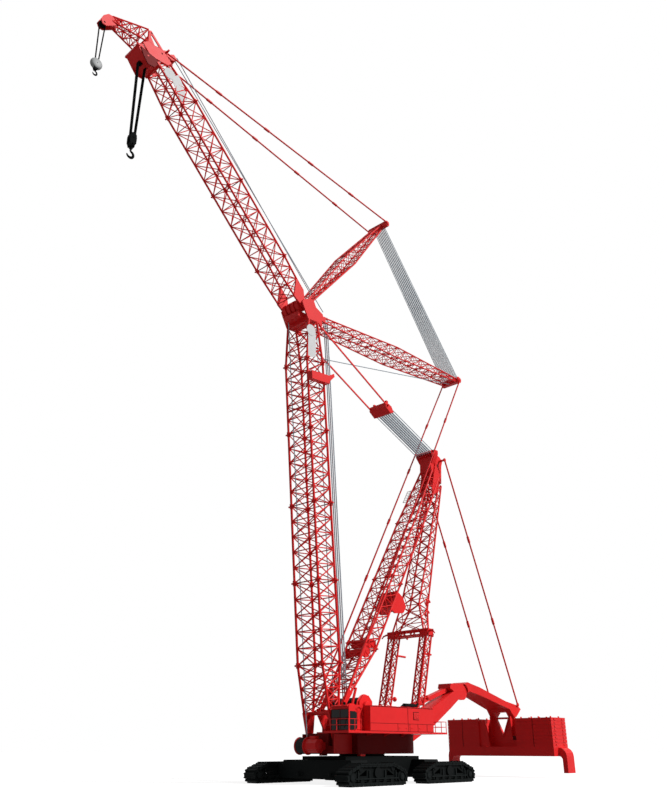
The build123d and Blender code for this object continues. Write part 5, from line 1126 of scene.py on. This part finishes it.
class CRANE_OT_fittings(Operator):
    """Add stops, horns and sheaves, the mast's head and ladder, and the fittings of the heads"""

    bl_idname = "crane.fittings"
    bl_label = "Fittings"

    def execute(self, context):
        shapes = []
        x, z = HITCH_SPLIT
        for s in SIDES:
            horn = [(x + 0.2, s * 3.2, z + 0.1), (x + 0.35, s * 3.7, z + 0.12), (x + 0.45, s * 4.1, z - 0.02),
                    (x + 0.5, s * 4.35, z - 0.3)]
            shapes += [tube(horn, [0.14, 0.12, 0.1, 0.07], (1.0, 0.0, 0.0), 8),
                       knobs([(-9.2, s * 2.6, 9.2)], 0.3)]
            for y, low, high, thick, sides in (
                    (1.8, (5.2, 8.0), (4.2, 9.5), 0.16, 12), (1.8, (3.6, 7.8), (2.85, 9.8), 0.16, 12),
                    (2.1, (-9.4, 14.45), (-11.0, 14.4), 0.13, 8), (2.1, (-10.9, 17.2), (-11.6, 16.7), 0.13, 8),
                    (2.6, (-7.9, 9.1), (-9.0, 9.2), 0.1, 8)):
                shapes.append(bars(place3(low, s * y), place3(high, s * y), thick, sides))
        shapes += [tube(bent(centre, 0.4, 170, -60, 1.5), 0.12) for centre in ((-11.7, 21.0), (-11.4, 19.6))]
        made("backhitch_fittings", shapes, "superstructure")
        x, z = MAST_HEAD
        end = mast_at(MAST_L)
        body = [ahead(end, MAST_DEG, -0.3, -0.95), (x + 1.6, z + 0.3), (x + 0.4, z + 1.0), (x - 0.6, z + 0.3),
                (x - 0.9, z - 0.4), ahead(end, MAST_DEG, -0.3, 1.8)]
        box = even([(-1.68, 1.0), (-1.6, 0.2), (-0.95, -1.1)])
        cheek = [(-0.95, -0.1), (-0.2, 0.45), (0.5, 0.2), (1.9, -4.9), (1.35, -5.6), (0.8, -5.2)]
        shapes = [prism(body, -1.0, 1.0), prism(box, x + 0.75, x + 1.55, "x", (0.0, z)),
                  *legs(cheek, 1.0, 1.16, MAST_HEAD), across(STRAP_TOP, 2.05, 0.15, 16)]
        for y in (-0.75, 0.75):
            arc = bent((x - 0.1, z + 1.05), 0.3, -10, -170, y)
            shapes.append(tube(np.vstack([[(x + 0.2, y, z + 1.5)], arc, [(x - 0.4, y, z + 1.5)]]), 0.09))
        shapes += sheave_row((x + 1.5, z + 0.5), 0.5, np.linspace(-1.35, 1.35, 8))
        made("mast_head_frame", shapes, "superstructure", "mast_head", bevel=0.02)
        a, b = (np.array([place3(mast_at(out, -0.2), -2.95)]) for out in (24.4, 26.6))
        t = np.linspace(0, 1, 7)[:, None]
        rungs, reach = a * (1 - t) + b * t, np.array((0.0, 0.6, 0.0))
        shapes = [bars([a[0], a[0] + reach], [b[0], b[0] + reach], 0.035, 6),
                  bars(rungs, rungs + reach, 0.03, 6),
                  bars([a[0], b[0]], [a[0] + reach * 3, b[0] + reach * 3], 0.04, 6)]
        made("mast_ladder", shapes, "superstructure", finish="pale_grey")
        x, z = EQUALIZER
        shapes = [blocks([(-0.15, 0.25, -0.12, 0.12, 0.3, 1.05)], [(x, s * 1.1, z) for s in SIDES]),
                  *sheave_row((x - 0.45, z - 0.2), 0.5, np.linspace(-1.25, 1.25, 8)),
                  across((x + 0.3, z + 0.2), 1.75, 0.14)]
        made("equalizer_fittings", shapes, "hoist_pendants")
        x, z = BOOM_STRUT_TIP
        shapes = sheave_row((x - 0.1, z + 0.2), 0.5, np.linspace(-1.3, 1.3, 8))
        made("boom_strut_sheaves", shapes, "main_boom")
        x, z = JIB_STRUT_TIP
        shapes = sheave_row((x - 0.2, z + 0.05), 0.45, np.linspace(-0.9, 0.9, 8))
        made("jib_strut_sheaves", shapes, "jib_strut_set")
        shapes = [blocks([(-0.9, 0.5, -1.34, 1.34, -1.75, -1.0)], place3(HINGE, 0.0)),
                  across(boom_at(38.0, -BOOM_D / 2), 1.9, 0.12, 8)]
        made("boom_head_fittings", shapes, "main_boom")
        x, z = JIB_HEAD_SHEAVES
        plate = [(x - 0.5, z - 0.2), (x + 0.1, z + 0.4), (35.1, 82.6), (35.3, 81.6)]
        shapes = sheave_row(JIB_HEAD_SHEAVES, 0.42, (-0.3, -0.1, 0.1, 0.3))
        shapes += [prism(plate, y, y + 0.1) for y in (-0.55, 0.45)]
        made("jib_head_fittings", shapes, "luffing_jib")
        return {"FINISHED"}


class CRANE_OT_stage(Operator):
    """Lay the floor, hang the lights and set the camera"""

    bl_idname = "crane.stage"
    bl_label = "Stage"

    def execute(self, context):
        scene, look = context.scene, context.scene.crane_look
        reach = FLOOR_REACH
        mesh = bpy.data.meshes.new("floor")
        mesh.from_pydata([(x * reach, y * reach, 0) for x, y in SQUARE.tolist()], [], [(0, 1, 2, 3)])
        floor = bpy.data.objects.new("floor", mesh)
        scene.collection.objects.link(floor)
        f = Finish("floor_white")
        plain = f.node("ShaderNodeBsdfDiffuse", values={"Color": (*[FLOOR_GREY] * 3, 1.0)})
        shine = seen_rays(f.tree) * FLOOR_GLOW
        glow = f.node("ShaderNodeEmission", values={"Color": WHITE, "Strength": shine})
        both = f.node("ShaderNodeAddShader", values={0: plain, 1: glow})
        f.node("ShaderNodeOutputMaterial", values={"Surface": both})
        mesh.materials.append(f.material)
        sun = bpy.data.lights.new("key", "SUN")
        sun.energy, sun.angle = look.sun, radians(SUN_SPREAD)
        lamp = bpy.data.objects.new("key", sun)
        lamp.rotation_euler = [radians(a) for a in SUN_TURN]
        scene.collection.objects.link(lamp)
        world = bpy.data.worlds.new("studio")
        scene.world = world
        world.use_nodes = True
        tree = world.node_tree
        tree.nodes.clear()
        background = tree.nodes.new("ShaderNodeBackground")
        strength = seen_rays(tree) * (1.0 - look.fill) + look.fill
        tree.links.new(strength.socket, background.inputs["Strength"])
        background.inputs["Color"].default_value = WHITE
        out = tree.nodes.new("ShaderNodeOutputWorld")
        tree.links.new(background.outputs[0], out.inputs["Surface"])
        scene.view_settings.view_transform = "Standard"
        lens = bpy.data.cameras.new("camera")
        lens.lens, lens.sensor_width, lens.clip_end = CAMERA_LENS, CAMERA_SENSOR, CAMERA_REACH
        camera = bpy.data.objects.new("camera", lens)
        camera.location, camera.rotation_euler = CAMERA_AT, [radians(a) for a in CAMERA_TURN]
        scene.collection.objects.link(camera)
        scene.camera = camera
        return {"FINISHED"}


OPERATORS = (CRANE_OT_finishes, CRANE_OT_stage, CRANE_OT_boom, CRANE_OT_jib, CRANE_OT_tip, CRANE_OT_struts,
             CRANE_OT_mast, CRANE_OT_ropes, CRANE_OT_stays, CRANE_OT_hooks, CRANE_OT_tracks, CRANE_OT_drums,
             CRANE_OT_house, CRANE_OT_weights, CRANE_OT_fittings)


class CRANE_PT_panel(Panel):
    """Lists the crane's operators and its sizes and colours"""

    bl_idname = "CRANE_PT_panel"
    bl_label = "Crawler crane"
    bl_space_type = "VIEW_3D"
    bl_region_type = "UI"
    bl_category = "Crane"

    def draw(self, context):
        look = context.scene.crane_look
        for name in CraneLook.__annotations__:
            self.layout.prop(look, name)
        for operator in OPERATORS:
            self.layout.operator(operator.bl_idname)


CLASSES = (CraneLook, *OPERATORS, CRANE_PT_panel)


def register():
    for cls in CLASSES:
        bpy.utils.register_class(cls)
    bpy.types.Scene.crane_look = PointerProperty(type=CraneLook)


def unregister():
    del bpy.types.Scene.crane_look
    for cls in reversed(CLASSES):
        bpy.utils.unregister_class(cls)


def main():
    register()
    for operator in OPERATORS:
        group, name = operator.bl_idname.split(".")
        getattr(getattr(bpy.ops, group), name)()


if __name__ == "__main__":
    main()
